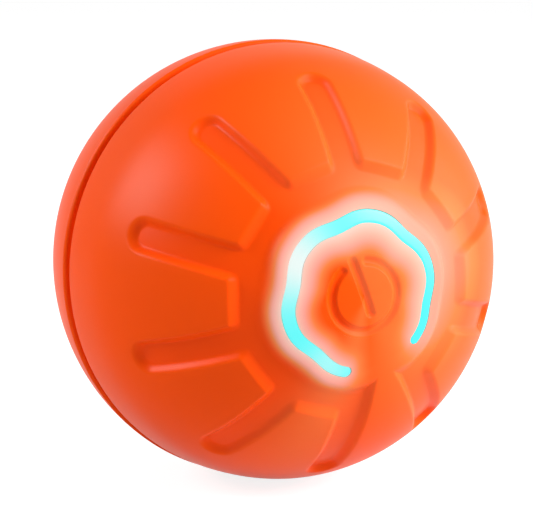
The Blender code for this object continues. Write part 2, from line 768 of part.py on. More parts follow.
def guide_levels(gap):
    """Give the light guide's levels, or those of its slot where the gap is not zero."""
    ledge = COVER_INNER + GUIDE_FLANGE + gap
    run = OVERRUN if gap > 0 else 0.0
    return (
        (STRIP_WIDTH / 2 + gap, BALL_RADIUS + run),
        (STRIP_WIDTH / 2 + gap, ledge),
        (GUIDE_FLANGE_WIDTH / 2 + gap, ledge),
        (GUIDE_FLANGE_WIDTH / 2 + gap, COVER_INNER - run),
    )


def make_light_guide():
    """Light guide: the wavy strip with a flange that the cover holds down."""
    return strip_solid("light_guide", strip_path(), guide_levels(0.0))


def sign_levels():
    """Give the levels of an engraved stroke, wider at the surface than at its floor."""
    draft = (SIGN_WIDTH - SIGN_FLOOR_WIDTH) / SIGN_DEPTH
    above = SIGN_DEPTH
    return (
        ((SIGN_WIDTH + draft * above) / 2, BALL_RADIUS + above),
        (SIGN_FLOOR_WIDTH / 2, BALL_RADIUS - SIGN_DEPTH),
    )


def make_power_button():
    """Button pad: domed skin with the engraved generic power sign and a flange below."""
    edge = math.asin(BUTTON_RADIUS / BALL_RADIUS)
    profile = [(0.0, -BALL_RADIUS)]
    for share in PAD_ROW_SHARES:
        angle = edge * share
        profile.append((BALL_RADIUS * math.sin(angle), -BALL_RADIUS * math.cos(angle)))
    profile.append((BUTTON_RADIUS, -BALL_RADIUS * math.cos(edge)))
    flange = BUTTON_BOTTOM + BUTTON_FLANGE
    profile += [(BUTTON_RADIUS, -flange), (BUTTON_FLANGE_RADIUS, -flange)]
    profile += [(BUTTON_FLANGE_RADIUS, -BUTTON_BOTTOM)]
    socket = POST_HEAD_RADIUS + SEAT_GAP
    profile += [(socket, -BUTTON_BOTTOM), (socket, -POST_TOP - SEAT_GAP)]
    profile += [(0.0, -POST_TOP - SEAT_GAP)]
    pad = turned("power_button", profile, PAD_STEPS)
    turns = np.radians(np.linspace(SIGN_GAP_DEG, 360.0 - SIGN_GAP_DEG, SIGN_STEPS))
    ring_path = polar_points(np.full_like(turns, math.radians(SIGN_RING_DEG)), turns)
    top = math.radians(BAR_TOP_DEG)
    foot = math.radians(BAR_FOOT_DEG)
    bar_path = polar_points(np.linspace(-foot, top, 4), np.zeros(4))
    ring_cut = strip_solid("ring", ring_path, sign_levels(), cap_steps=3)
    bar_cut = strip_solid("bar", bar_path, sign_levels(), cap_steps=3)
    return cut(pad, ring_cut, bar_cut)


def make_button_post():
    """Button post: stem through the shell with a flat head glued into the pad."""
    tip = -LIGHT_BOARD_Y + SWITCH_TOP + SEAT_GAP
    return turned("button_post", [
        (0.0, -POST_TOP),
        (POST_HEAD_RADIUS, -POST_TOP),
        (POST_HEAD_RADIUS, -BUTTON_BOTTOM),
        (POST_RADIUS, -BUTTON_BOTTOM),
        (POST_RADIUS, -tip),
        (0.0, -tip),
    ])


# Shells


def shell_inner_loops(side):
    """Give loops of a shell's inner surface from the rim's taper towards the pole."""
    start = math.acos((RIM_DEPTH + RIM_TAPER) / SHELL_INNER)
    angles = [start] + [math.radians(angle) for angle in SHELL_ROWS_DEG]
    loops = [ring(RIM_INNER_RADIUS, side * RIM_DEPTH, SHELL_COLUMNS)]
    return loops + [sphere_ring(SHELL_INNER, angle, side, SHELL_COLUMNS) for angle in angles]


def add_bosses(shell, side, angles_deg):
    """Add the screw bosses inside a shell, with counterbored holes from outside."""
    for angle_deg in angles_deg:
        centre = around(SCREW_CIRCLE, angle_deg)
        ends = sorted((side * BOSS_END, side * SHELL_OUTER))
        boss = cylinder("boss", centre, BOSS_RADIUS, *ends, PILLAR_STEPS)
        limit = SHELL_OUTER - SHELL_WALL / 2
        trim = [[(0.0, side * limit, 0.0)]]
        for angle in np.radians(BOSS_TRIM_ROWS_DEG):
            trim.append(sphere_ring(limit, angle, side, SHELL_COLUMNS))
        trim.append([(0.0, 0.0, 0.0)])
        join(shell, intersect(boss, loft("trim", trim)))
        seat = SCREW_HEAD_FACE - SCREW_HEAD - FIT_GAP
        ends = sorted((side * seat, side * (SHELL_OUTER + OVERRUN)))
        sink = cylinder("sink", centre, SCREW_HEAD_RADIUS + FIT_GAP, *ends, SMALL_STEPS)
        ends = sorted((side * (BOSS_END - OVERRUN), side * SHELL_OUTER))
        hole = cylinder("hole", centre, SCREW_HOLE, *ends, SMALL_STEPS)
        cut(shell, sink, hole)
    return shell


def make_front_shell():
    """Front shell: bead groove, flat under the button, spigot into the rear shell."""
    hole = POST_RADIUS + 2 * FIT_GAP
    flat_edge = math.sqrt(SHELL_OUTER ** 2 - SHELL_FLAT ** 2)
    edge = SEAM_GAP / 2
    loops = [ring(hole, -SHELL_FLAT, SHELL_COLUMNS), ring(flat_edge, -SHELL_FLAT, SHELL_COLUMNS)]
    loops += layer_loops(SHELL_OUTER, FIT_GAP, -1, LAYER_ROWS_DEG)[::-1]
    rim = [(SHELL_OUTER, -edge), (SPIGOT_OUTER, -edge), (SPIGOT_OUTER, SPIGOT_HEIGHT)]
    rim += [(RIM_INNER_RADIUS, SPIGOT_HEIGHT)]
    loops += [ring(radius, y, SHELL_COLUMNS) for radius, y in rim]
    loops += shell_inner_loops(-1)
    loops.append(sphere_ring(SHELL_INNER, math.asin(hole / SHELL_INNER), -1, SHELL_COLUMNS))
    return add_bosses(loft("front_shell", loops), -1, FRONT_SCREW_ANGLES_DEG)


def make_rear_shell():
    """Rear shell: groove for the seal ring, charging well and the lugs of the flap's pin."""
    edge = SEAM_GAP / 2
    bore = SPIGOT_OUTER + FIT_GAP
    loops = [[(0.0, SHELL_OUTER, 0.0)]]
    loops += layer_loops(SHELL_OUTER, FIT_GAP, 1, LAYER_ROWS_DEG + (REAR_LAYER_ROW_DEG,))[::-1]
    rim = [(SHELL_OUTER, edge), (SEAL_OUTER, edge), (SEAL_OUTER, SEAL_GROOVE_DEPTH)]
    rim += [(bore, SEAL_GROOVE_DEPTH), (bore, SPIGOT_HEIGHT + FIT_GAP)]
    rim += [(RIM_INNER_RADIUS, SPIGOT_HEIGHT + FIT_GAP)]
    loops += [ring(radius, y, SHELL_COLUMNS) for radius, y in rim]
    loops += shell_inner_loops(1)
    loops.append([(0.0, SHELL_INNER, 0.0)])
    shell = add_bosses(loft("rear_shell", loops), 1, REAR_SCREW_ANGLES_DEG)
    floor = WELL_FLOOR_TOP - WELL_FLOOR
    half_x = WELL_LENGTH / 2
    half_z = WELL_WIDTH / 2
    outer = rounded_rectangle(half_x + WELL_WALL, half_z + WELL_WALL, WELL_CORNER + WELL_WALL)
    well_top = SHELL_INNER + SHELL_WALL / 3
    join(shell, prism("well", outer, floor, well_top))
    inner = rounded_rectangle(half_x, half_z, WELL_CORNER)
    cut(shell, prism("well_room", inner, WELL_FLOOR_TOP, SHELL_OUTER + OVERRUN))
    socket = rounded_rectangle(
        SOCKET_LENGTH / 2 + FIT_GAP, SOCKET_WIDTH / 2 + FIT_GAP, SOCKET_WIDTH / 2 + FIT_GAP)
    cut(shell, prism("socket_hole", socket, floor - OVERRUN, SHELL_OUTER))
    for side in (-1, 1):
        inner_z = side * (KNUCKLE_HALF_LENGTH + LUG_GAP)
        outer_z = side * (KNUCKLE_HALF_LENGTH + LUG_GAP + LUG_WIDTH)
        span = sorted((inner_z, outer_z))
        foot = math.sqrt(SHELL_OUTER ** 2 - HINGE_OFFSET ** 2) - SHELL_WALL
        half_foot = LUG_RADIUS * LUG_FOOT_SHARE
        x_range = (-HINGE_OFFSET - half_foot, -HINGE_OFFSET + half_foot)
        lug = block("lug", x_range, (foot, HINGE_Y), span)
        join(lug, hinge_cylinder("lug_top", LUG_RADIUS, *span))
        cut(lug, hinge_cylinder("lug_hole", HINGE_PIN_HOLE, span[0] - OVERRUN, span[1] + OVERRUN))
        join(shell, lug)
    return shell


def hinge_cylinder(name, radius, z_low, z_high, steps=SMALL_STEPS):
    """Make a cylinder along Z on the flap's hinge line."""
    points = []
    for z in (z_low, z_high):
        for x, y in circle(radius, steps):
            points.append((x - HINGE_OFFSET, y + HINGE_Y, z))
    faces = [list(range(steps)), list(range(2 * steps - 1, steps - 1, -1))]
    for index in range(steps):
        after = (index + 1) % steps
        faces.append([index, after, steps + after, steps + index])
    return make_object(name, points, faces)


def make_seal_ring():
    """Seal ring: a round ring in the groove between the two shells."""
    middle = SPIGOT_OUTER + SEAL_GROOVE_WIDTH / 2
    centre_y = (SEAL_GROOVE_DEPTH - SEAM_GAP / 2) / 2
    loops = []
    for turn in np.arange(SEAL_STEPS) * (2 * math.pi / SEAL_STEPS):
        radius = middle + SEAL_RADIUS * math.cos(turn)
        loops.append(ring(radius, centre_y + SEAL_RADIUS * math.sin(turn), SHELL_COLUMNS))
    return loft("seal_ring", loops)


def screw(name, centre, face_y, direction, length, head_radius, head):
    """Make a screw whose head starts at face_y and whose shank runs along the direction."""
    neck = face_y + direction * head
    tip = neck + direction * length
    profile = [(0.0, face_y), (head_radius, face_y), (head_radius, neck)]
    profile += [(SCREW_SHANK, neck), (SCREW_SHANK, tip), (0.0, tip)]
    return turned(name, profile, SMALL_STEPS, centre)


def make_shell_screws(name, side, angles_deg):
    """Shell screws: three in a ring, heads sunk below the cover."""
    return [
        screw(f"{name}_{number}", around(SCREW_CIRCLE, angle), side * SCREW_HEAD_FACE, -side,
              SCREW_LENGTH, SCREW_HEAD_RADIUS, SCREW_HEAD)
        for number, angle in enumerate(angles_deg, 1)
    ]


# Gears: outlines follow the involute of the base circle


def involute(angle):
    """Give the involute function of a pressure angle."""
    return math.tan(angle) - angle


def gear_outline(teeth, shift, tooth_angle, centre):
    """Give a gear's outline, with one tooth centred on tooth_angle (radians from +X).

    Half a tooth's angle at radius r is half the pitch tooth's angle, plus the involute of
    the pressure angle, less the involute of the angle whose cosine is base radius over r.
    """
    pressure = math.radians(PRESSURE_DEG)
    pitch = MODULE * teeth / 2
    base = pitch * math.cos(pressure)
    tip = pitch + MODULE * (1 + shift)
    root = pitch - MODULE * (TIP_ROOM_SHARE - shift)
    thickness = MODULE * (math.pi / 2 + 2 * shift * math.tan(pressure)) - BACKLASH
    half_pitch = thickness / (2 * pitch)

    def half_angle(radius):
        reach = math.acos(min(1.0, base / radius))
        return half_pitch + involute(pressure) - involute(reach)

    flank = [(root, half_angle(max(base, root))), (tip, half_angle(tip))]
    points = []
    for index in range(teeth):
        heading = tooth_angle + index * 2 * math.pi / teeth
        for radius, half in flank:
            points.append((radius, heading - half))
        for radius, half in reversed(flank):
            points.append((radius, heading + half))
    return [
        (centre[0] + radius * math.cos(turn), centre[1] + radius * math.sin(turn))
        for radius, turn in points
    ]


def centre_distance(first_teeth, second_teeth):
    """Give the distance between two meshing gears, one of which is shifted."""
    return MODULE * ((first_teeth + second_teeth) / 2 + SHIFT_SHARE)


def moved(place, distance, angle_deg):
    """Give a place moved by a distance at an angle from +X towards +Z."""
    step = around(distance, angle_deg)
    return (place[0] + step[0], place[1] + step[1])


SECOND_PLACE = around(centre_distance(SMALL_TEETH, FINAL_TEETH), SECOND_GEAR_ANGLE_DEG)
FIRST_PLACE = moved(SECOND_PLACE, centre_distance(SMALL_TEETH, WHEEL_TEETH), FIRST_GEAR_ANGLE_DEG)
MOTOR_PLACE = moved(FIRST_PLACE, centre_distance(MOTOR_TEETH, WHEEL_TEETH), MOTOR_ANGLE_DEG)


def wheel_angle(teeth, mesh_angle_deg):
    """Give the tooth angle of a wheel whose gap faces the given direction."""
    return math.radians(mesh_angle_deg) + math.pi / teeth


def make_compound_gear(name, place, wheel_mesh_deg, small_mesh_deg, wheel_layer):
    """Compound gear: a wheel with a small gear moulded on, a sleeve and a bore for its pin."""
    wheel = gear_outline(WHEEL_TEETH, 0.0, wheel_angle(WHEEL_TEETH, wheel_mesh_deg), place)
    small = gear_outline(SMALL_TEETH, SHIFT_SHARE, math.radians(small_mesh_deg), place)
    gear = prism(name, wheel, wheel_layer, wheel_layer + GEAR_WIDTH)
    join(gear, prism("small", small, wheel_layer + GEAR_WIDTH / 2, wheel_layer + 2 * LAYER_STEP - FIT_GAP))
    low = FRONT_PLATE_TOP + FIT_GAP
    join(gear, cylinder("sleeve", place, SLEEVE_RADIUS, low, LAYERS_END, PILLAR_STEPS))
    bore = hole_radius(PIN_RADIUS + SEAT_GAP, PILLAR_STEPS)
    return drill(gear, place, bore, low, LAYERS_END, PILLAR_STEPS)


def make_motor_pinion():
    """Motor pinion: a small gear pressed on the motor's shaft."""
    outline = gear_outline(MOTOR_TEETH, SHIFT_SHARE, math.radians(MOTOR_ANGLE_DEG + 180.0), MOTOR_PLACE)
    pinion = prism("motor_pinion", outline, LAYER_1, LAYER_1 + GEAR_WIDTH)
    return drill(pinion, MOTOR_PLACE, PIN_RADIUS + SEAT_GAP, LAYER_1, LAYER_2)


def keyed_outline(radius, key_radius, key_width):
    """Give a circle with square keys standing out of it."""
    half = math.asin(key_width / 2 / radius)
    key_half = math.asin(key_width / 2 / key_radius)
    points = []
    for key in range(KEY_COUNT):
        heading = 2 * math.pi * key / KEY_COUNT
        points += [(radius, heading - half), (key_radius, heading - key_half)]
        points += [(key_radius, heading + key_half), (radius, heading + half)]
        between = np.linspace(heading + half, heading + 2 * math.pi / KEY_COUNT - half, 6)[1:-1]
        points += [(radius, turn) for turn in between]
    return [(size * math.cos(turn), size * math.sin(turn)) for size, turn in points]


def make_final_gear():
    """Final gear: a wheel keyed on the carrier's spigot."""
    angle = wheel_angle(FINAL_TEETH, SECOND_GEAR_ANGLE_DEG)
    outline = gear_outline(FINAL_TEETH, 0.0, angle, (0.0, 0.0))
    gear = prism("final_gear", outline, LAYER_3, LAYER_3 + GEAR_WIDTH)
    bore = keyed_outline(KEYED_RADIUS + FIT_GAP, HUB_RADIUS + FIT_GAP, KEY_WIDTH + 2 * FIT_GAP)
    return cut(gear, prism("bore", bore, LAYER_3 - OVERRUN, LAYERS_END))


def sector_outline(inner, outer, half_angle_deg, steps=12):
    """Give a ring sector centred on -Z."""
    half = math.radians(half_angle_deg)
    turns = np.linspace(-math.pi / 2 - half, -math.pi / 2 + half, steps + 1)
    far = [(outer * math.cos(turn), outer * math.sin(turn)) for turn in turns]
    near = [(inner * math.cos(turn), inner * math.sin(turn)) for turn in turns[::-2]]
    return far + near


def make_weight_carrier():
    """Weight carrier: hub, keyed spigot for the gear and the arm plate under the weight."""
    low = LAYER_3 - FIT_GAP
    carrier = cylinder("weight_carrier", (0.0, 0.0), HUB_RADIUS, LAYERS_END, WEIGHT_TOP)
    spigot = keyed_outline(KEYED_RADIUS, HUB_RADIUS, KEY_WIDTH)
    arm = sector_outline(ARM_NECK_RADIUS, ARM_OUTER_RADIUS, ARM_HALF_ANGLE_DEG)
    plate = prism("arm", arm, ARM_Y, ARM_TOP)
    join(plate, cylinder("neck", (0.0, 0.0), ARM_NECK_RADIUS + OVERRUN, ARM_Y, ARM_TOP))
    join(carrier, prism("spigot", spigot, low, LAYERS_END + KEYED_ROOT), plate)
    bore = hole_radius(BUSH_OUTER + SEAT_GAP, ROUND_STEPS)
    drill(carrier, (0.0, 0.0), bore, low, WEIGHT_TOP, ROUND_STEPS)
    for angle in WEIGHT_SCREW_ANGLES_DEG:
        drill(carrier, around(WEIGHT_SCREW_CIRCLE, angle - 90.0), SCREW_HOLE, ARM_Y, ARM_TOP)
    return carrier


def make_swing_weight():
    """Swing weight: a thick steel ring sector screwed to the carrier's arm."""
    outline = sector_outline(WEIGHT_INNER_RADIUS, WEIGHT_OUTER_RADIUS, WEIGHT_HALF_ANGLE_DEG)
    weight = prism("swing_weight", outline, WEIGHT_Y, WEIGHT_TOP)
    for angle in WEIGHT_SCREW_ANGLES_DEG:
        drill(weight, around(WEIGHT_SCREW_CIRCLE, angle - 90.0), SCREW_HOLE, WEIGHT_Y, WEIGHT_TOP)
    return weight


def make_weight_screws():
    """Weight screws: two, with heads on the rear face of the weight."""
    length = WEIGHT_THICKNESS + ARM_THICKNESS
    return [
        screw(f"weight_screw_{number}", around(WEIGHT_SCREW_CIRCLE, angle - 90.0), WEIGHT_HEAD_FACE,
              -1, length, SMALL_HEAD_RADIUS, SMALL_HEAD)
        for number, angle in enumerate(WEIGHT_SCREW_ANGLES_DEG, 1)
    ]


def make_bush(name, y_low):
    """Axle bush: a plain sleeve in one end of the carrier's hub."""
    inner = hole_radius(AXLE_RADIUS + SEAT_GAP, ROUND_STEPS)
    high = y_low + BUSH_LENGTH
    return turned(name, [(inner, y_low), (BUSH_OUTER, y_low), (BUSH_OUTER, high), (inner, high)])


def make_axle():
    """Fixed axle: a steel tube between the two frames, with the wires inside."""
    low = FRONT_PLATE_Y - AXLE_BOSS_DEPTH + 2 * FIT_GAP
    high = REAR_PLATE_TOP - 2 * FIT_GAP
    return turned("axle", [(AXLE_BORE, low), (AXLE_RADIUS, low), (AXLE_RADIUS, high), (AXLE_BORE, high)])


def make_gear_pin(name, place):
    """Gear pin: a steel pin between the front frame and the gear plate."""
    ends = (FRONT_PLATE_Y + SEAT_GAP, GEAR_PLATE_TOP - SEAT_GAP)
    return cylinder(name, place, PIN_RADIUS, *ends, PILLAR_STEPS)


# Frames


def frame_plate(name, y_low, y_high, angles_deg, boss_side):
    """Make a round plate with a pillar for each shell screw."""
    plate = cylinder(name, (0.0, 0.0), FRAME_RADIUS, y_low, y_high, PLATE_STEPS)
    for angle in angles_deg:
        centre = around(SCREW_CIRCLE, angle)
        ends = sorted(((y_low + y_high) / 2, boss_side * PILLAR_END))
        join(plate, cylinder("pillar", centre, PILLAR_RADIUS, *ends, PILLAR_STEPS))
        ends = sorted((boss_side * (SCREW_HEAD_FACE - SCREW_HEAD - SCREW_LENGTH - FIT_GAP),
                       boss_side * (PILLAR_END + OVERRUN)))
        cut(plate, cylinder("hole", centre, SCREW_HOLE, *ends, SMALL_STEPS))
    return plate


def motor_outline(extra):
    """Give the motor's round outline with two flats, grown by an extra."""
    radius = MOTOR_RADIUS + extra
    flat = MOTOR_FLAT + extra
    half = math.acos(flat / radius)
    turns = np.linspace(half, math.pi - half, 7)
    arc = [(radius * math.cos(turn), radius * math.sin(turn)) for turn in turns]
    outline = arc + [(-x, -z) for x, z in arc]
    return [(MOTOR_PLACE[0] + x, MOTOR_PLACE[1] + z) for x, z in outline]


def make_front_frame():
    """Front frame: plate, pillars, axle boss, motor sleeve and posts for the light board."""
    frame = frame_plate("front_frame", FRONT_PLATE_Y, FRONT_PLATE_TOP, FRONT_SCREW_ANGLES_DEG, -1)
    middle = FRONT_PLATE_Y + FRAME_PLATE / 2
    boss_end = FRONT_PLATE_Y - AXLE_BOSS_DEPTH
    join(frame, cylinder("boss", (0.0, 0.0), AXLE_BOSS_RADIUS, boss_end, middle))
    sleeve_end = FRONT_PLATE_Y - MOTOR_SLEEVE_DEPTH
    sleeve = prism("sleeve", motor_outline(MOTOR_SLEEVE_WALL + FIT_GAP), sleeve_end, middle)
    room = prism("motor_room", motor_outline(FIT_GAP), sleeve_end - OVERRUN, FRONT_PLATE_Y)
    join(frame, cut(sleeve, room))
    post_end = LIGHT_BOARD_Y + BOARD_THICKNESS + SEAT_GAP
    for angle in LIGHT_POST_ANGLES_DEG:
        centre = around(LIGHT_POST_CIRCLE, angle)
        join(frame, cylinder("post", centre, BOARD_POST_RADIUS, post_end, middle, SMALL_STEPS))
        hole_end = post_end + SMALL_SCREW_LENGTH
        cut(frame, cylinder("hole", centre, SCREW_HOLE, post_end - OVERRUN, hole_end, SMALL_STEPS))
    seat = hole_radius(AXLE_RADIUS + SEAT_GAP, ROUND_STEPS)
    top = FRONT_PLATE_TOP + OVERRUN
    cut(frame, cylinder("axle_seat", (0.0, 0.0), seat, boss_end + FIT_GAP, top))
    drill(frame, (0.0, 0.0), WIRE_HOLE, boss_end, boss_end)
    plate = (FRONT_PLATE_Y, FRONT_PLATE_TOP)
    drill(frame, MOTOR_PLACE, MOTOR_NOSE_HOLE, *plate, PILLAR_STEPS)
    for place in (FIRST_PLACE, SECOND_PLACE):
        drill(frame, place, hole_radius(PIN_RADIUS + SEAT_GAP, PILLAR_STEPS), *plate, PILLAR_STEPS)
    for angle in GEAR_PILLAR_ANGLES_DEG:
        drill(frame, around(GEAR_PILLAR_CIRCLE, angle), SCREW_HOLE, *plate)
    return frame


def make_gear_plate():
    """Gear plate: holds the far ends of the gear pins, on three pillars, with windows."""
    plate = cylinder("gear_plate", (0.0, 0.0), GEAR_PLATE_RADIUS, GEAR_PLATE_Y, GEAR_PLATE_TOP, PLATE_STEPS)
    foot = FRONT_PLATE_TOP + SEAT_GAP
    faces = (GEAR_PLATE_Y, GEAR_PLATE_TOP)
    drill(plate, (0.0, 0.0), GEAR_PLATE_HOLE, *faces, ROUND_STEPS)
    for angle in GEAR_PILLAR_ANGLES_DEG:
        centre = around(GEAR_PILLAR_CIRCLE, angle)
        join(plate, cylinder("pillar", centre, GEAR_PILLAR_RADIUS, foot, GEAR_PLATE_Y + GEAR_PLATE / 2,
                             PILLAR_STEPS))
        hole_end = foot + SMALL_SCREW_LENGTH
        cut(plate, cylinder("hole", centre, SCREW_HOLE, foot - OVERRUN, hole_end, SMALL_STEPS))
    for place in (FIRST_PLACE, SECOND_PLACE):
        drill(plate, place, hole_radius(PIN_RADIUS + SEAT_GAP, PILLAR_STEPS), *faces, PILLAR_STEPS)
    window_circle = (GEAR_PLATE_RADIUS + GEAR_PLATE_HOLE) / 2
    for first, second in zip(GEAR_PILLAR_ANGLES_DEG, GEAR_PILLAR_ANGLES_DEG[1:]):
        drill(plate, around(window_circle, (first + second) / 2), WINDOW_RADIUS, *faces, ROUND_STEPS)
    return plate


def make_gear_plate_screws():
    """Gear plate screws: three, from the front of the frame into the plate's pillars."""
    face = FRONT_PLATE_Y - SEAT_GAP - SMALL_HEAD
    return [
        screw(f"gear_plate_screw_{number}", around(GEAR_PILLAR_CIRCLE, angle), face, 1,
              SMALL_SCREW_LENGTH, SMALL_HEAD_RADIUS, SMALL_HEAD)
        for number, angle in enumerate(GEAR_PILLAR_ANGLES_DEG, 1)
    ]


def make_rear_frame():
    """Rear frame: plate, pillars, axle boss, battery tray and posts for the main board."""
    frame = frame_plate("rear_frame", REAR_PLATE_Y, REAR_PLATE_TOP, REAR_SCREW_ANGLES_DEG, 1)
    middle = REAR_PLATE_Y + FRAME_PLATE / 2
    boss_end = WEIGHT_TOP + FIT_GAP
    join(frame, cylinder("boss", (0.0, 0.0), AXLE_BOSS_RADIUS, boss_end, middle))
    inner_x = BATTERY_LENGTH / 2 + TRAY_GAP
    inner_z = BATTERY_WIDTH / 2 + TRAY_GAP
    corner = BATTERY_CORNER + TRAY_GAP
    wall = rounded_rectangle(inner_x + TRAY_WALL, inner_z + TRAY_WALL, corner + TRAY_WALL)
    tray = prism("tray", wall, middle, REAR_PLATE_TOP + TRAY_HEIGHT)
    room = rounded_rectangle(inner_x, inner_z, corner)
    cut(tray, prism("room", room, REAR_PLATE_TOP, REAR_PLATE_TOP + TRAY_HEIGHT + OVERRUN))
    notch = 4 * HARNESS_RADIUS
    place = HARNESS_EXIT_X
    cut(tray, block("notch", (place - notch / 2, place + notch / 2),
                    (REAR_PLATE_TOP, REAR_PLATE_TOP + TRAY_HEIGHT + OVERRUN),
                    (-inner_z - TRAY_WALL - OVERRUN, -inner_z + OVERRUN)))
    join(frame, tray)
    for side in (-1, 1):
        x_range = sorted(side * inner_x * share for share in RIB_PLACE_SHARES)
        reach = inner_z * RIB_LENGTH_SHARE
        rib = block("rib", x_range, (middle, BATTERY_Y - SEAT_GAP), (-reach, reach))
        join(frame, rib)
        centre = (0.0, side * BOARD_POST_OFFSET)
        top = MAIN_BOARD_Y - SEAT_GAP
        join(frame, cylinder("post", centre, BOARD_POST_RADIUS, middle, top, SMALL_STEPS))
        low = MAIN_BOARD_Y - SMALL_SCREW_LENGTH
        cut(frame, cylinder("hole", centre, SCREW_HOLE, low, MAIN_BOARD_Y + OVERRUN, SMALL_STEPS))
    seat = hole_radius(AXLE_RADIUS + SEAT_GAP, ROUND_STEPS)
    cut(frame, cylinder("axle_seat", (0.0, 0.0), seat, boss_end - OVERRUN, REAR_PLATE_TOP - FIT_GAP))
    return drill(frame, (0.0, 0.0), WIRE_HOLE, boss_end, REAR_PLATE_TOP)


# Motor


def make_motor_can():
    """Motor can: a round steel can with two flats and the shaft's hole."""
    front = FRONT_PLATE_Y - FIT_GAP
    can = prism("motor_can", motor_outline(0.0), front - MOTOR_LENGTH, front)
    hole = hole_radius(PIN_RADIUS + SEAT_GAP, SMALL_STEPS)
    return cut(can, cylinder("hole", MOTOR_PLACE, hole, front - GEAR_WIDTH, front + OVERRUN, SMALL_STEPS))


def make_motor_cap():
    """Motor end cap: plastic cap with two solder tabs."""
    top = FRONT_PLATE_Y - FIT_GAP - MOTOR_LENGTH - SEAT_GAP
    low = top - MOTOR_CAP
    cap = prism("motor_cap", motor_outline(-FIT_GAP), low, top)
    for side in (-1, 1):
        middle = MOTOR_PLACE[1] + side * TERMINAL_OFFSET
        z_range = (middle - TERMINAL_THICKNESS / 2, middle + TERMINAL_THICKNESS / 2)
        x_range = (MOTOR_PLACE[0] - TERMINAL_WIDTH / 2, MOTOR_PLACE[0] + TERMINAL_WIDTH / 2)
        join(cap, block("tab", x_range, (low - TERMINAL_HEIGHT, low + TERMINAL_THICKNESS), z_range))
    return cap


def make_motor_shaft():
    """Motor shaft: from inside the can to the end of the pinion."""
    low = FRONT_PLATE_Y - FIT_GAP - GEAR_WIDTH + FIT_GAP
    return cylinder("motor_shaft", MOTOR_PLACE, PIN_RADIUS, low, LAYER_1 + GEAR_WIDTH, SMALL_STEPS)


# Boards, switch, battery and wires


def make_light_board():
    """Light board: a round board with holes for its screws and the wires' slot."""
    board = cylinder("light_board", (0.0, 0.0), LIGHT_BOARD_RADIUS, LIGHT_BOARD_Y,
                     LIGHT_BOARD_Y + BOARD_THICKNESS, PLATE_STEPS)
    for angle in LIGHT_POST_ANGLES_DEG:
        centre = around(LIGHT_POST_CIRCLE, angle)
        drill(board, centre, SCREW_HOLE, LIGHT_BOARD_Y, LIGHT_BOARD_Y + BOARD_THICKNESS)
    return board


def make_leds():
    """LEDs: square lamps on the board behind the light strip."""
    half = LED_SIZE / 2
    lamps = []
    for turn in np.radians(np.linspace(-STRIP_END_DEG, STRIP_END_DEG, LED_COUNT)) + FACE_TURN:
        out = np.array((math.sin(turn), math.cos(turn)))
        along = np.array((out[1], -out[0]))
        corners = [
            tuple(LED_CIRCLE * out + half * (a * out + b * along))
            for a, b in ((-1, -1), (1, -1), (1, 1), (-1, 1))
        ]
        lamps.append(prism(f"led_{len(lamps) + 1}", corners, LED_FACE_Y, LED_FACE_Y + LED_HEIGHT))
    return lamps


def make_switch_body():
    """Switch body: a square housing with a round well for its plunger."""
    half = SWITCH_SIZE / 2
    top = LIGHT_BOARD_Y - SEAT_GAP
    low = top - SWITCH_HEIGHT
    body = prism("switch_body", rounded_rectangle(half, half, SWITCH_CORNER, 2), low, top)
    hole = hole_radius(PLUNGER_HOLE, PILLAR_STEPS)
    return cut(body, cylinder("hole", (0.0, 0.0), hole, low - OVERRUN, low + PLUNGER_HOLE_DEPTH,
                              PILLAR_STEPS))


def make_switch_plunger():
    """Switch plunger: a round key that the button's post presses."""
    low = LIGHT_BOARD_Y - SWITCH_TOP
    high = LIGHT_BOARD_Y - SEAT_GAP - SWITCH_HEIGHT + PLUNGER_HOLE_DEPTH - BUTTON_TRAVEL - FIT_GAP
    return cylinder("switch_plunger", (0.0, 0.0), PLUNGER_RADIUS, low, high, PILLAR_STEPS)


def make_light_board_screws():
    """Light board screws: two into the front frame's posts."""
    face = LIGHT_BOARD_Y - SEAT_GAP - SMALL_HEAD
    return [
        screw(f"light_board_screw_{number}", around(LIGHT_POST_CIRCLE, angle), face, 1,
              SMALL_SCREW_LENGTH, SMALL_HEAD_RADIUS, SMALL_HEAD)
        for number, angle in enumerate(LIGHT_POST_ANGLES_DEG, 1)
    ]


def make_battery():
    """Battery: a flat cell with round edges in the tray of the rear frame."""
    outline = rounded_rectangle(BATTERY_LENGTH / 2, BATTERY_WIDTH / 2, BATTERY_CORNER)
    return prism("battery", outline, BATTERY_Y, BATTERY_Y + BATTERY_THICKNESS)


def make_main_board():
    """Main board: a round board behind the battery, on two posts."""
    board = cylinder("main_board", (0.0, 0.0), MAIN_BOARD_RADIUS, MAIN_BOARD_Y, MAIN_BOARD_TOP,
                     PLATE_STEPS)
    for side in (-1, 1):
        drill(board, (0.0, side * BOARD_POST_OFFSET), SCREW_HOLE, MAIN_BOARD_Y, MAIN_BOARD_TOP)
    return board


def make_main_board_screws():
    """Main board screws: two into the rear frame's posts."""
    face = MAIN_BOARD_TOP + SEAT_GAP + SMALL_HEAD
    return [
        screw(f"main_board_screw_{number}", (0.0, side * BOARD_POST_OFFSET), face, -1,
              SMALL_SCREW_LENGTH, SMALL_HEAD_RADIUS, SMALL_HEAD)
        for number, side in enumerate((-1, 1), 1)
    ]


def make_chip(name, x, size):
    """Make a square chip on the rear of the main board."""
    low = MAIN_BOARD_TOP + SEAT_GAP
    half = size / 2
    return block(name, (x - half, x + half), (low, low + CHIP_HEIGHT), (-half, half))


def make_chips():
    """Chips: the controller and the charger, one each side of the charging socket."""
    row = (SOCKET_LENGTH + CHIP_SIZE) / 2 + 2 * FIT_GAP
    return [
        make_chip("controller_chip", -row, CHIP_SIZE),
        make_chip("charger_chip", row, SMALL_CHIP_SIZE),
    ]


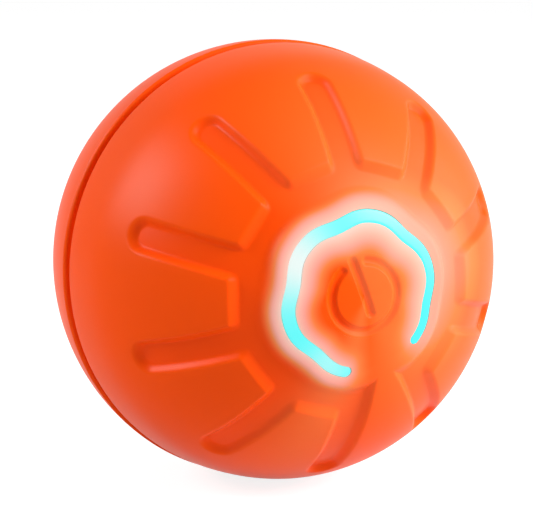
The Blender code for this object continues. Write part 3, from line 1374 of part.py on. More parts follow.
def make_usb_socket():
    """Charging socket: an upright flat-oval shell with its mouth and tongue."""
    radius = SOCKET_WIDTH / 2
    outline = rounded_rectangle(SOCKET_LENGTH / 2, radius, radius)
    socket = prism("usb_socket", outline, MAIN_BOARD_TOP + SEAT_GAP, SOCKET_FACE_Y)
    inner = radius - SOCKET_MOUTH_WALL
    mouth = rounded_rectangle(SOCKET_LENGTH / 2 - SOCKET_MOUTH_WALL, inner, inner)
    floor = SOCKET_FACE_Y - SOCKET_MOUTH_DEPTH
    cut(socket, prism("mouth", mouth, floor, SOCKET_FACE_Y + OVERRUN))
    reach = SOCKET_LENGTH / 2 - radius
    tongue = block("tongue", (-reach, reach), (floor - SOCKET_TONGUE, SOCKET_FACE_Y - SOCKET_TONGUE),
                   (-SOCKET_TONGUE / 2, SOCKET_TONGUE / 2))
    return join(socket, tongue)


def harness_route():
    """Give the points that the wires follow, from the light board to the main board."""
    wall = BATTERY_WIDTH / 2 + TRAY_GAP + TRAY_WALL / 2
    under = REAR_PLATE_TOP + BATTERY_STAND / 2
    start = LIGHT_BOARD_Y + BOARD_THICKNESS + SEAT_GAP
    bend = BATTERY_STAND / 2
    points = [(0.0, y, 0.0) for y in (start, FRONT_PLATE_Y - AXLE_BOSS_DEPTH, REAR_PLATE_Y)]
    for out_share, rise_share, wall_share in HARNESS_ROUTE_SHARES:
        points.append((HARNESS_EXIT_X * out_share, under + bend * rise_share, -wall * wall_share))
    for y in ((under + MAIN_BOARD_Y) / 2, MAIN_BOARD_Y - SEAT_GAP):
        points.append((HARNESS_EXIT_X, y, -wall * HARNESS_RISE_SHARE))
    return points


def make_wire_harness():
    """Wire harness: a sleeved bundle through the hollow axle, as one tube."""
    curve = bpy.data.curves.new("wire_harness", "CURVE")
    curve.dimensions = "3D"
    route = harness_route()
    spline = curve.splines.new("POLY")
    spline.points.add(len(route) - 1)
    for point, place in zip(spline.points, route):
        point.co = (*place, 1.0)
    curve.bevel_depth = HARNESS_RADIUS
    curve.bevel_resolution = 1
    curve.use_fill_caps = True
    tube = bpy.data.objects.new("tube", curve)
    bpy.context.collection.objects.link(tube)
    graph = bpy.context.evaluated_depsgraph_get()
    mesh = bpy.data.meshes.new_from_object(tube.evaluated_get(graph))
    bpy.data.objects.remove(tube)
    work = bmesh.new()
    work.from_mesh(mesh)
    bmesh.ops.remove_doubles(work, verts=work.verts, dist=HARNESS_RADIUS / 100)
    bmesh.ops.recalc_face_normals(work, faces=work.faces)
    work.to_mesh(mesh)
    work.free()
    harness = bpy.data.objects.new("wire_harness", mesh)
    bpy.context.collection.objects.link(harness)
    return harness


# Charging flap


def make_port_flap():
    """Charging flap: domed skin, sealing rim that enters the well, and the hinge knuckle."""
    half_width = PORT_HALF_WIDTH - FLAP_GAP
    outline = tab_outline(-FLAP_NEAR_END, PORT_FAR_END - FLAP_GAP, half_width)
    flap = prism("port_flap", outline, FLAP_BOTTOM, BALL_RADIUS + OVERRUN)
    dome = [[(0.0, BALL_RADIUS, 0.0)]]
    for angle in np.radians(FLAP_DOME_ROWS_DEG):
        dome.append(sphere_ring(BALL_RADIUS, angle, 1, SHELL_COLUMNS))
    dome.append([(0.0, 0.0, 0.0)])
    intersect(flap, loft("dome", dome))
    half_x = WELL_LENGTH / 2 - FLAP_RIM_END_GAP
    half_z = WELL_WIDTH / 2 - FLAP_GAP
    rim = prism("rim", rounded_rectangle(half_x, half_z, WELL_CORNER), FLAP_BOTTOM - FLAP_RIM_DEPTH,
                FLAP_BOTTOM + FLAP_GAP)
    room = rounded_rectangle(half_x - FLAP_RIM_WALL, half_z - FLAP_RIM_WALL, WELL_CORNER - FLAP_RIM_WALL)
    cut(rim, prism("room", room, FLAP_BOTTOM - FLAP_RIM_DEPTH - OVERRUN, FLAP_BOTTOM))
    join(flap, rim)
    reach = KNUCKLE_HALF_LENGTH
    arm = block("arm", (-HINGE_OFFSET, -FLAP_NEAR_END + FLAP_GAP),
                (FLAP_BOTTOM + SEAT_GAP, HINGE_Y + KNUCKLE_RADIUS - FLAP_GAP), (-reach, reach))
    join(arm, hinge_cylinder("knuckle", KNUCKLE_RADIUS, -reach, reach, PILLAR_STEPS))
    join(flap, arm)
    return cut(flap, hinge_cylinder("pin_hole", HINGE_PIN_HOLE, -reach - OVERRUN, reach + OVERRUN))


def make_flap_pin():
    """Flap pin: a thin pin through the knuckle, held by the shell's two lugs."""
    reach = KNUCKLE_HALF_LENGTH + LUG_GAP + LUG_WIDTH
    return hinge_cylinder("flap_pin", HINGE_PIN_RADIUS, -reach, reach)


# Materials


def make_materials():
    """Make one material for each kind of surface."""
    return {
        "cover": make_material("cover_orange", (0.91, 0.13, 0.02), 0.42),
        "button": make_material("button_orange", (0.93, 0.15, 0.02), 0.42),
        "guide": make_material("guide_cyan", (0.15, 0.95, 0.92), 0.30),
        "shell": make_material("shell_clear", (0.86, 0.88, 0.90), 0.20, alpha=0.55),
        "seal": make_material("seal_black", (0.02, 0.02, 0.02), 0.60),
        "frame": make_material("frame_white", (0.80, 0.80, 0.78), 0.45),
        "gear": make_material("gear_white", (0.86, 0.85, 0.80), 0.40),
        "steel": make_material("steel", (0.60, 0.60, 0.62), 0.30, 1.0),
        "weight": make_material("weight_steel", (0.35, 0.36, 0.38), 0.45, 1.0),
        "bronze": make_material("bush_bronze", (0.55, 0.33, 0.14), 0.35, 1.0),
        "board": make_material("board_green", (0.02, 0.20, 0.08), 0.40),
        "black": make_material("plastic_black", (0.02, 0.02, 0.02), 0.45),
        "lamp": make_material("lamp_white", (0.90, 0.92, 0.85), 0.30),
        "cell": make_material("battery_blue", (0.05, 0.15, 0.45), 0.35),
        "wire": make_material("wire_grey", (0.12, 0.12, 0.13), 0.50),
    }


def build():
    """Build every piece of the ball."""
    clear_scene()
    paint = make_materials()
    second = (SECOND_PLACE[0], 0.0, SECOND_PLACE[1])
    first = (FIRST_PLACE[0], 0.0, FIRST_PLACE[1])
    motor = (MOTOR_PLACE[0], 0.0, MOTOR_PLACE[1])
    finish(make_front_cover(), paint["cover"])
    finish(make_rear_cover(), paint["cover"])
    finish(make_light_guide(), paint["guide"])
    finish(make_front_shell(), paint["shell"])
    finish(make_rear_shell(), paint["shell"])
    finish(make_seal_ring(), paint["seal"])
    finish_all(make_shell_screws("front_shell_screw", -1, FRONT_SCREW_ANGLES_DEG), paint["steel"])
    finish_all(make_shell_screws("rear_shell_screw", 1, REAR_SCREW_ANGLES_DEG), paint["steel"])
    finish(make_power_button(), paint["button"])
    finish(make_button_post(), paint["frame"])
    finish(make_switch_body(), paint["black"])
    finish(make_switch_plunger(), paint["frame"])
    finish(make_light_board(), paint["board"])
    finish_all(make_leds(), paint["lamp"])
    finish_all(make_light_board_screws(), paint["steel"])
    finish(make_front_frame(), paint["frame"])
    finish(make_gear_plate(), paint["frame"])
    finish_all(make_gear_plate_screws(), paint["steel"])
    finish(make_axle(), paint["steel"])
    finish(make_gear_pin("first_gear_pin", FIRST_PLACE), paint["steel"])
    finish(make_gear_pin("second_gear_pin", SECOND_PLACE), paint["steel"])
    finish(make_motor_can(), paint["steel"])
    finish(make_motor_cap(), paint["black"])
    finish(make_motor_shaft(), paint["steel"], motor)
    finish(make_motor_pinion(), paint["bronze"], motor)
    first_gear = make_compound_gear("first_gear", FIRST_PLACE, MOTOR_ANGLE_DEG,
                                    FIRST_GEAR_ANGLE_DEG + 180.0, LAYER_1)
    finish(first_gear, paint["gear"], first)
    second_gear = make_compound_gear("second_gear", SECOND_PLACE, FIRST_GEAR_ANGLE_DEG,
                                     SECOND_GEAR_ANGLE_DEG + 180.0, LAYER_2)
    finish(second_gear, paint["gear"], second)
    finish(make_final_gear(), paint["gear"])
    finish(make_weight_carrier(), paint["frame"])
    finish(make_swing_weight(), paint["weight"])
    finish_all(make_weight_screws(), paint["steel"])
    finish(make_bush("front_bush", LAYER_3 - FIT_GAP), paint["bronze"])
    finish(make_bush("rear_bush", WEIGHT_TOP - BUSH_LENGTH), paint["bronze"])
    finish(make_rear_frame(), paint["frame"])
    finish(make_battery(), paint["cell"])
    finish(make_main_board(), paint["board"])
    finish_all(make_main_board_screws(), paint["steel"])
    finish_all(make_chips(), paint["black"])
    finish(make_usb_socket(), paint["steel"])
    finish(make_wire_harness(), paint["wire"])
    hinge = (-HINGE_OFFSET, HINGE_Y, 0.0)
    finish(make_port_flap(), paint["cover"], hinge)
    finish(make_flap_pin(), paint["steel"])


build()
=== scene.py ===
"""Pet ball, dressed: smooth treaded covers, a glowing light guide, the engraved button and the
charging flap as fine surfaces over the packed frame, with a material for every inner piece.

A lean is an angle from a pole. Azimuths are counted from +Z towards +X, less the turn of the
ball's face, so that the bar of the sign lies at azimuth zero. Side is -1 in front, 1 behind.
"""

import json
import math
from functools import partial

import bmesh
import bpy
import numpy as np
from bpy.props import FloatProperty, FloatVectorProperty, IntProperty, PointerProperty
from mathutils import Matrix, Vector


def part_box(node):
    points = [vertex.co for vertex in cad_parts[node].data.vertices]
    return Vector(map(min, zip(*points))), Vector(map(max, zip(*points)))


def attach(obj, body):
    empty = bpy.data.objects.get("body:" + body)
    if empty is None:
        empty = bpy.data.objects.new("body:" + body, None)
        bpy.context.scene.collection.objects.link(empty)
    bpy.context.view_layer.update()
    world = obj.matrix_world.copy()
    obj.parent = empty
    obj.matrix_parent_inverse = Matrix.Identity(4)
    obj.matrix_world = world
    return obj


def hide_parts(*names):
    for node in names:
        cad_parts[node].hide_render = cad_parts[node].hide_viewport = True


bl_info = {
    "name": "Treaded Pet Ball",
    "version": (1, 0, 0),
    "blender": (4, 5, 0),
    "location": "3D View > Sidebar > Pet Ball",
    "description": "Builds the covers, light, button, flap and finishes of a pet ball",
    "category": "Object",
}

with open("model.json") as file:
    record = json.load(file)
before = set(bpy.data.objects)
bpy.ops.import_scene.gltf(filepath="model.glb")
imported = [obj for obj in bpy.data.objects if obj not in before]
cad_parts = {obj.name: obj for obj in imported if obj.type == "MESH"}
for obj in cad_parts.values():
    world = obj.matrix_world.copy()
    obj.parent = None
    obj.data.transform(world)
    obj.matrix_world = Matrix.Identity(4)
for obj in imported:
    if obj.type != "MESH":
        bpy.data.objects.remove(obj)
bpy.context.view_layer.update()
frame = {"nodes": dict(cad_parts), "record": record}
FLAP_LOW, FLAP_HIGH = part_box("port_flap")
PIN_LOW, PIN_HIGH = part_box("flap_pin")
_, PAD_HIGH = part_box("power_button")
POST_LOW, POST_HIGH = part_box("button_post")

# Grids: where the rows change their pitch, in degrees from the pole, and the rows in between.
# A span, here and below, is where a change starts and over how far it runs.
HOLE_ROW_DEG = 10.6
ROW_STOPS_DEG = (15.0, 24.0, 36.0, 57.0, 67.0)
FRONT_ROW_COUNTS = (6, 46, 36, 12, 22, 14)
REAR_ROW_COUNTS = (6, 14, 42, 14, 26, 16)
RELAX_OVER_DEG = 13.0
WAVE_OVER_DEG = 3.0
WAVE_FADE_DEG = 27.0
FRONT_COLUMNS = 64
REAR_COLUMNS = 60
INNER_ROWS = 8
INNER_LAST_DEG = 87.0
LIP_TURNS_DEG = (10.0, 30.0, 50.0, 70.0, 90.0)
TUCK_SPAN_DEG = (68.0, 16.0)
PAD_ROWS = 110
PAD_COLUMNS = 420
STRIP_STEPS = 260
STRIP_END_STEPS = 14
FLAP_STEPS = 240
RIM_STEPS = 200
KNUCKLE_STEPS = 48

# Columns: shares of half a pitch where a channel's floor and its wall end, the greatest sines
# of their turns, and where the columns crowd and even out, in degrees from the pole
FLOOR_SHARE = 0.22
WALL_SHARE = 0.55
FLOOR_SINE_LIMIT = 0.29
WALL_SINE_LIMIT = 0.30
CROWD_SPAN_DEG = (25.5, 5.0)
EVEN_SPAN_DEG = (64.0, 9.0)

# Fits between neighbouring pieces, in metres
PAD_FIT = 0.00001
STRIP_FIT = 0.00003
STRIP_WALL = 0.00010
POST_FIT = 0.0001
FLAP_FIT = 0.0003
HINGE_ROOM = 0.0011

# Light guide: half widths that its flange reaches, and the rows of its rounded top as (share of
# the half width, drop as a share of it)
FLANGE_SHARE = 2.0
STRIP_TOP_ROWS = ((1.0, 0.12), (0.97, 0.04), (0.90, 0.01), (0.6, 0.0), (0.0, 0.0))

# Flap's skin: its hinge end, its rows on top as (share of the outline, drop below the sphere)
# and its rows below as (share of the outline, place along the axis)
FLAP_NEAR_END = 0.0088
FLAP_TOP_ROWS = (
    (0.0, 0.0), (0.25, 0.0), (0.5, 0.0), (0.7, 0.0), (0.85, 0.0), (0.94, 0.0),
    (0.975, 0.00002), (0.99, 0.0001), (1.0, 0.0003), (1.0, 0.0006),
)
FLAP_UNDER_ROWS = (
    (1.0, 0.0375), (0.985, 0.0373), (0.9, 0.0373), (0.5, 0.0373), (0.0, 0.0373),
)

# Flap's rim: the power of its outline, and its rows as (inset, place along the axis)
RIM_POWER = 6.0
RIM_ROWS = (
    (0.0, 0.0374), (0.0, 0.0364), (0.00006, 0.0361), (0.0, 0.0358), (0.00012, 0.03545),
    (0.0004, 0.03532), (0.0008, 0.0354), (0.0009, 0.0357), (0.0009, 0.0374),
)

# Flap's knuckle: its rows as (share of its half length, share of its roll), and its tongue's
# end, sides and greatest sine
KNUCKLE_ROWS = ((-1.0, 0.0), (-1.0, 0.95), (-0.97, 1.0), (0.97, 1.0), (1.0, 0.95), (1.0, 0.0))
TONGUE_END = -0.0085
TONGUE_LOW = 0.0374
TONGUE_HIGH = 0.0383
TONGUE_SINE = 0.75

# Painted light on the cover, with reaches in metres. A swing is a mean, the size of a cosine
# of the azimuth and the direction of its peak in degrees. Added is what comes on towards the
# right.
RIGHT_SWING = (0.5, 0.5, 100.0)
REACH_IN_SWING = (0.0055, 0.0012, 60.0)
REACH_OUT_LEFT = 0.0046
REACH_OUT_ADDED = 0.0110
LEVEL_IN_SWING = (0.53, 0.12, 20.0)
LEVEL_OUT_SWING = (0.45, 0.13, -60.0)
FULL_LEVEL = 0.75
POWER_IN = 1.2
POWER_OUT_LEFT = 1.45
POWER_OUT_ADDED = -0.75
END_SPAN_DEG = (132.0, 55.0)
LEFT_SPAN_DEG = (55.0, 60.0)
LEFT_DEG = -90.0
BRIDGE_DEG = -150.0
BRIDGE_WIDTH_DEG = 18.0
WIDE_LEVEL = 0.13
WIDE_FALL = 4.0

# Pale light in the guide: bells as (azimuth, width, height), and an even level that fades
PALE_BELLS = ((-42.0, 27.0, 0.92), (-133.0, 18.0, 0.32))
PALE_LEVEL = 0.07
PALE_SPAN_DEG = (50.0, 40.0)

# Range that most of a noise's values lie in
NOISE_LOW = 0.3
NOISE_HIGH = 0.7

# Finishes of the slots, as (name, linear colour, roughness) and the stretch of a metal's lines
MOULDED = {
    "seal_black": ("seal_rubber", (0.020, 0.020, 0.021), 0.60),
    "frame_white": ("frame_plastic", (0.74, 0.74, 0.72), 0.42),
    "gear_white": ("gear_nylon", (0.78, 0.77, 0.70), 0.34),
    "plastic_black": ("black_plastic", (0.022, 0.022, 0.024), 0.48),
    "lamp_white": ("lamp_lens", (0.86, 0.87, 0.78), 0.22),
    "battery_blue": ("cell_wrap", (0.035, 0.12, 0.36), 0.28),
    "wire_grey": ("wire_sleeve", (0.10, 0.10, 0.11), 0.55),
    "cover_orange": ("cover_plain", (0.85, 0.11, 0.01), 0.44),
    "button_orange": ("button_plain", (0.85, 0.11, 0.01), 0.44),
    "guide_cyan": ("guide_plain", (0.20, 0.80, 0.80), 0.35),
}
METAL = {
    "steel": ("drawn_steel", (0.56, 0.57, 0.59), 0.28, (40.0, 40.0, 2600.0)),
    "weight_steel": ("plated_weight", (0.30, 0.31, 0.33), 0.38, (40.0, 40.0, 2600.0)),
    "bush_bronze": ("sintered_bronze", (0.50, 0.31, 0.13), 0.42, (1800.0,) * 3),
}

# Floor: points along a side, its grey in light that it takes and as it is seen, and its own
# light when seen; and the nearest distance that the camera shows, in ball radii
FLOOR_STEPS = 9
FLOOR_GREY = (0.62, 0.62, 0.62)
FLOOR_SEEN_GREY = (0.34, 0.34, 0.34)
FLOOR_LIGHT = (0.84, 0.84, 0.84)
CLIP_SHARE = 0.25

# Edges that turn by more than this are sharp
SHARP_DEG = 38.0
BLACK = (0.0, 0.0, 0.0)

# Guards: the least divisor and the distance under which points are one
LEAST = 1e-9
WELD = 1e-8

# Width of the picture, in pixels
PICTURE_WIDTH = 533.0


# Kinds of setting, each with its unit or subtype


def setting(kind, **fixed):
    """Give a maker of settings of one kind, which share a unit or subtype."""
    def make(name, description, default, **limits):
        return kind(name=name, description=description, default=default, **fixed, **limits)
    return make


whole = setting(IntProperty)
plain = setting(FloatProperty)
shift = setting(FloatProperty, precision=4)
rounding = setting(FloatProperty, min=0.05, max=0.5)
length = setting(FloatProperty, unit="LENGTH", precision=5)
radians = setting(FloatProperty, subtype="ANGLE")
watts = setting(FloatProperty, unit="POWER", min=0.0)
tint = setting(FloatVectorProperty, subtype="COLOR", size=3, min=0.0, max=1.0)


def angle(name, description, degrees):
    """Make an angle, given in degrees."""
    return radians(name, description, math.radians(degrees))


# Settings that a user may change


class BallSizes(bpy.types.PropertyGroup):
    """Sizes of the ball's covers and light."""

    radius: length("Ball Radius", "Radius of the ball over its panels", FLAP_HIGH.y)
    inner_radius: length("Cover Inner Radius", "Inner radius of the covers", 0.0372)
    face_turn: angle("Face Turn", "Turn of the sign about the roll axis", -19.7)
    channels: whole("Channels", "Number of channels on each half", 10, min=3)
    channel_width: length("Channel Width", "Width of a channel at half its depth", 0.0051)
    tread_depth: length("Tread Depth", "Depth of the channels and the valley", 0.0012)
    channel_slope: length("Channel Slope", "Width of a channel's sloping wall", 0.0018)
    panel_slope: length("Panel Slope", "Width of the bevel at a panel's inner edge", 0.0023)
    hub_slope: length("Hub Slope", "Width of the slope at the hub's edge", 0.0036)
    channel_round: rounding("Channel Round", "Rounded share of a channel's wall", 0.46)
    panel_round: rounding("Panel Round", "Rounded share of a panel's bevel", 0.28)
    hub_edge: angle("Hub Edge", "Angle from the pole to the hub's edge", 25.0)
    panel_edge: angle("Panel Edge", "Angle from the pole to a panel's inner edge", 32.5)
    channel_end: angle("Channel End", "Angle from the pole to a round end's centre", 58.5)
    waves: whole("Waves", "Number of waves round the hub", 6, min=1)
    wave_height: angle("Wave Height", "Swing of the hub's and light's wave", 0.65)
    wave_pinch: angle("Wave Pinch", "Swing of a second wave, half as long", 0.10)
    strip_angle: angle("Light Angle", "Angle from the pole to the light guide", 19.05)
    strip_reach: angle("Light Reach", "Azimuth of each end of the light guide", 149.0)
    strip_width: length("Light Width", "Width of the light guide", 0.0021)
    strip_swell: plain("Light Swell", "Share by which its width swells", 0.11, min=0.0, max=0.5)
    swell_turn: angle("Swell Turn", "Azimuth where the light guide is widest", -25.0)
    strip_sink: length("Light Slot Depth", "Depth of the light guide's slot", 0.0007)
    strip_foot: length("Light Flange", "Thickness of the light guide's hidden flange", 0.0008)
    button_radius: length("Button Radius", "Radius of the button pad", 0.0073)
    button_flange: length("Button Flange", "Thickness of the button's hidden flange", 0.0005)
    sign_radius: angle("Ring Size", "Angle from the pole to the ring", 8.65)
    sign_gap: angle("Ring Gap", "Azimuth of each end of the sign's ring", 23.0)
    bar_low: angle("Bar Foot", "Angle from the pole to the bar's foot", -4.4)
    bar_high: angle("Bar Head", "Angle from the pole to the bar's head", 9.4)
    sign_width: length("Sign Width", "Width of the sign's grooves", 0.0023)
    sign_depth: length("Sign Depth", "Depth of the sign's grooves", 0.0006)
    seam_half: length("Half Seam", "Half the gap between the covers", 0.00015)
    groove_width: length("Seam Groove Width", "Width of the ledge beside the seam", 0.0018)
    groove_depth: length("Seam Groove Depth", "Depth of that ledge under the lip", 0.0012)
    front_lip: length("Front Lip", "Round of the front cover's lip", 0.00025)
    rear_lip: length("Rear Lip", "Round of the rear cover's lip", 0.0006)
    front_tuck: length("Front Tuck", "How much lower the front cover's lip lies", 0.0003)
    knuckle_half: length("Half Knuckle", "Half the length of the hinge knuckle", 0.0034)
    rim_half_x: length("Rim Half Length", "Half the length of the flap's sealing rim", 0.0069)
    rim_half_z: length("Rim Half Width", "Half the width of the flap's sealing rim", 0.0042)


class BallColours(bpy.types.PropertyGroup):
    """Colours of the covers, the light and its glow."""

    cover: tint("Cover", "Soft cover", (0.920, 0.077, 0.001))
    # Painted shade: a darker cover colour laid on the recesses of the tread and on the sign's
    # grooves
    cover_shaded: tint("Cover Recess", "Cover in the recesses", (0.920, 0.068, 0.001))
    # Painted light: the strip's light on the cover, laid on as the cover's own emission
    glow: tint("Glow", "Light on the cover close to the strip", (0.0, 0.75, 0.79))
    glow_near: tint("Near Glow", "Light on the cover a little off the strip", (0.0, 0.598, 0.59))
    glow_edge: tint("Glow Edge", "Light on the cover at the glow's middle", (0.0, 0.446, 0.43))
    glow_rim: tint("Glow Rim", "Light on the cover past the bright ring", (0.0, 0.294, 0.30))
    glow_far: tint("Far Glow", "Light on the cover where the glow runs out", (0.0, 0.144, 0.06))
    light: tint("Light", "Light guide", (0.008, 0.82, 0.82))
    light_pale: tint("Pale Light", "Light guide where it is brightest", (0.80, 0.81, 0.78))


class StageLook(bpy.types.PropertyGroup):
    """Camera, floor and lamps."""

    camera_distance: length("Camera Distance", "Distance from the ball's centre", 0.440)
    camera_azimuth: angle("Camera Azimuth", "Camera's turn round the ball", -22.8)
    camera_elevation: angle("Camera Elevation", "Camera's height angle", 9.8)
    lens: plain("Lens", "Focal length on a 36 mm sensor, in millimetres", 163.0, min=1.0)
    shift_x: shift("Shift Across", "Move across, in picture widths", -6.8 / PICTURE_WIDTH)
    shift_y: shift("Shift Up", "Move up, in picture widths", 1.8 / PICTURE_WIDTH)
    lamp_distance: length("Lamp Distance", "Distance of the lamps from the centre", 0.75)
    key_azimuth: angle("Key Azimuth", "Turn of the key lamp round the ball", 42.0)
    key_elevation: angle("Key Elevation", "Height angle of the key lamp", 34.0)
    key_size: length("Key Size", "Side of the key lamp", 0.40)
    key_power: watts("Key Power", "Power of the key lamp", 6.2)
    side_azimuth: angle("Side Azimuth", "Turn of the side lamp round the ball", -106.0)
    side_elevation: angle("Side Elevation", "Height angle of the side lamp", 31.8)
    side_size: length("Side Size", "Side of the side lamp", 0.26)
    side_power: watts("Side Power", "Power of the side lamp", 3.3)
    shine_size: length("Shine Size", "Side of the side lamp's reflector", 0.44)
    shine_power: watts("Shine Power", "Power of the side lamp's reflector", 6.8)
    fill_azimuth: angle("Fill Azimuth", "Turn of the fill lamp round the ball", 75.0)
    fill_elevation: angle("Fill Elevation", "Height angle of the fill lamp", 8.0)
    fill_size: length("Fill Size", "Side of the fill lamp", 0.70)
    fill_power: watts("Fill Power", "Power of the fill lamp", 8.0)
    sky: plain("Sky", "Strength of the light from all sides", 0.28, min=0.0)
    floor_reach: length("Floor Reach", "Half the width of the floor", 4.0)


# Meshes


def new_object(name, data):
    """Make an object of a mesh, a lamp or a camera and add it to the scene."""
    item = bpy.data.objects.new(name, data)
    bpy.context.scene.collection.objects.link(item)
    return item


def make_piece(name, *grids):
    """Make an object from grids of points, welded, with its normals pointing outwards.

    A grid's columns close on themselves, and it comes with whether its rows do too.
    """
    points = np.concatenate([grid.reshape(-1, 3) for grid, _ in grids])
    faces = []
    start = 0
    for grid, close_rows in grids:
        faces += (grid_faces(*grid.shape[:2], close_rows) + start).tolist()
        start += grid.shape[0] * grid.shape[1]
    mesh = bpy.data.meshes.new(name)
    mesh.from_pydata(points.tolist(), [], faces)
    work = bmesh.new()
    work.from_mesh(mesh)
    bmesh.ops.remove_doubles(work, verts=work.verts, dist=WELD)
    bmesh.ops.recalc_face_normals(work, faces=work.faces)
    work.to_mesh(mesh)
    work.free()
    mesh.shade_smooth()
    mesh.set_sharp_from_angle(angle=math.radians(SHARP_DEG))
    return new_object(name, mesh)


def grid_faces(rows, columns, close_rows, close_columns=True):
    """Quads of a grid of points, whose rows and columns may close on themselves."""
    here = np.arange(rows * columns).reshape(rows, columns)
    ahead = np.roll(here, -1, axis=0)
    corners = [here, np.roll(here, -1, axis=1), np.roll(ahead, -1, axis=1), ahead]
    quads = np.stack(corners, axis=-1)[:rows - (not close_rows), :columns - (not close_columns)]
    return quads.reshape(-1, 4)


def smooth(value):
    """Smooth step: 6t^5 - 15t^4 + 10t^3, with t held between 0 and 1."""
    t = np.clip(value, 0.0, 1.0)
    return t * t * t * (t * (6.0 * t - 15.0) + 10.0)


def rise(value, start, over):
    """Smooth step from 0 to 1 that starts at a value and ends over a distance past it."""
    return smooth((value - start) / over)


def bevel(distance, slope, share):
    """Climb from 0 to 1 over a slope that is centred on distance 0.

    It is straight, with a parabola over a share of the slope at each of its ends.
    """
    t = np.clip(distance / slope + 0.5, 0.0, 1.0)
    bend = 1.0 / (2.0 * share * (1.0 - share))
    straight = (t - share / 2.0) / (1.0 - share)
    return np.where(t < share, bend * t * t,
                    np.where(t > 1.0 - share, 1.0 - bend * (1.0 - t) ** 2, straight))


def full_turn(steps):
    """Evenly spaced directions of a full turn, without the last, which is the first."""
    return np.linspace(0.0, 2.0 * math.pi, steps, endpoint=False)


def turned(reach, along, heading):
    """Points at a distance from the axis and a place along it, in a direction from +Z."""
    return np.stack(np.broadcast_arrays(
        reach * np.sin(heading), along, reach * np.cos(heading)), axis=-1)


def on_sphere(radius, lean, azimuth, side):
    """Points at a radius, an angle from the pole and an azimuth from +Z."""
    return turned(radius * np.sin(lean), side * radius * np.cos(lean), azimuth)


def round_axis(profile, heading):
    """Points of a profile of (distance from the axis, place along it) turned to headings."""
    return turned(*np.array(profile).T[:, :, None], heading)


def set_attribute(piece, name, compute, sizes):
    """Store a number at each vertex, computed from the sizes and the vertices' places."""
    mesh = piece.data
    places = np.zeros(len(mesh.vertices) * 3)
    mesh.vertices.foreach_get("co", places)
    layer = mesh.attributes.new(name, "FLOAT", "POINT")
    layer.data.foreach_set("value", compute(sizes, places.reshape(-1, 3)).astype(np.float32))


def own(piece, material, body, slot, *nodes):
    """Give a piece its material and its body, and hide the nodes that it stands for; the slot is
    not used.
    """
    piece.data.materials.append(material)
    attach(piece, body)
    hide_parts(*nodes)


def signed(azimuth):
    """The same azimuth between minus half a turn and half a turn."""
    return (azimuth + math.pi) % (2.0 * math.pi) - math.pi


# Tread of the covers


def wave(sizes, azimuth):
    """Wave of the hub and light: minus a cosine with a peak per wave and a small one with two."""
    turn = sizes.waves * azimuth
    return -sizes.wave_height * np.cos(turn) - sizes.wave_pinch * np.cos(2.0 * turn)


def from_channel(sizes, azimuth):
    """Signed azimuth from the nearest channel's middle; the first lies half a pitch from zero."""
    pitch = 2.0 * math.pi / sizes.channels
    return (azimuth % pitch) - pitch / 2.0


def panel_edge(sizes, azimuth):
    """Angle of a panel's inner edge: the chord whose middle lies at the panel edge angle."""
    turn = from_channel(sizes, azimuth + math.pi / sizes.channels)
    return np.arctan(math.tan(sizes.panel_edge) / np.cos(turn))


def hub_height(sizes, lean, azimuth):
    """Height of the hub: 1 inside its wavy edge, falling to 0 over its slope."""
    inside = (sizes.hub_edge + wave(sizes, azimuth) - lean) * sizes.radius
    return bevel(inside, sizes.hub_slope, sizes.channel_round)


def tread_height(sizes, lean, azimuth, side):
    """Height of the tread, 0 in the recesses and 1 on top.

    A channel is a slot of constant width with a round end: the distance to its middle line is
    taken on the sphere, and a bevel climbs its edge. A valley rings the hub, whose edge follows
    the wave, and the panels rise at their chord. In front one panel runs on to the hub.
    """
    turn = from_channel(sizes, azimuth)
    across = sizes.radius * np.arcsin(np.sin(lean) * np.sin(turn))
    along = np.arctan2(np.sin(lean) * np.cos(turn), np.cos(lean))
    beyond = np.maximum(along - sizes.channel_end, 0.0) * sizes.radius
    from_wall = np.hypot(across, beyond) - sizes.channel_width / 2.0
    channel = bevel(from_wall, sizes.channel_slope, sizes.channel_round)
    hub = hub_height(sizes, lean, azimuth)
    past = (lean - panel_edge(sizes, azimuth)) * sizes.radius
    panel = bevel(past, sizes.panel_slope, sizes.panel_round)
    if side < 0:
        away = math.pi - np.abs(signed(azimuth))
        panel = np.where(away < math.pi / sizes.channels, 1.0, panel)
    return np.maximum(hub, channel * panel)


def column_azimuths(sizes, lean, per_sector):
    """Azimuths of the columns at each row, crowded along the channels' edges.

    Each half pitch is split at the floor's edge, the top's edge and the panel's middle. Where
    no channel runs, the columns go back to even steps.
    """
    half_pitch = math.pi / sizes.channels
    share = (np.arange(per_sector) + 0.5) / per_sector * 2.0 - 1.0
    reach = sizes.radius * np.sin(lean)
    low_sine = (sizes.channel_width - sizes.channel_slope) / 2.0 / reach
    high_sine = (sizes.channel_width + sizes.channel_slope) / 2.0 / reach
    floor = np.arcsin(np.minimum(low_sine, FLOOR_SINE_LIMIT))[:, None]
    top = np.arcsin(np.minimum(high_sine, WALL_SINE_LIMIT))[:, None]
    size = np.abs(share)[None, :]
    low = size / FLOOR_SHARE * floor
    middle = floor + (size - FLOOR_SHARE) / (WALL_SHARE - FLOOR_SHARE) * (top - floor)
    high = top + (size - WALL_SHARE) / (1.0 - WALL_SHARE) * (half_pitch - top)
    crowded = np.sign(share) * np.where(
        size < FLOOR_SHARE, low, np.where(size < WALL_SHARE, middle, high))
    degrees = np.degrees(lean)
    weight = rise(degrees, *CROWD_SPAN_DEG) * (1.0 - rise(degrees, *EVEN_SPAN_DEG))
    turns = share[None, :] * half_pitch * (1.0 - weight[:, None]) + crowded * weight[:, None]
    starts = (np.arange(sizes.channels) + 0.5) * 2.0 * half_pitch
    return (starts[None, :, None] + turns[:, None, :]).reshape(len(lean), -1)


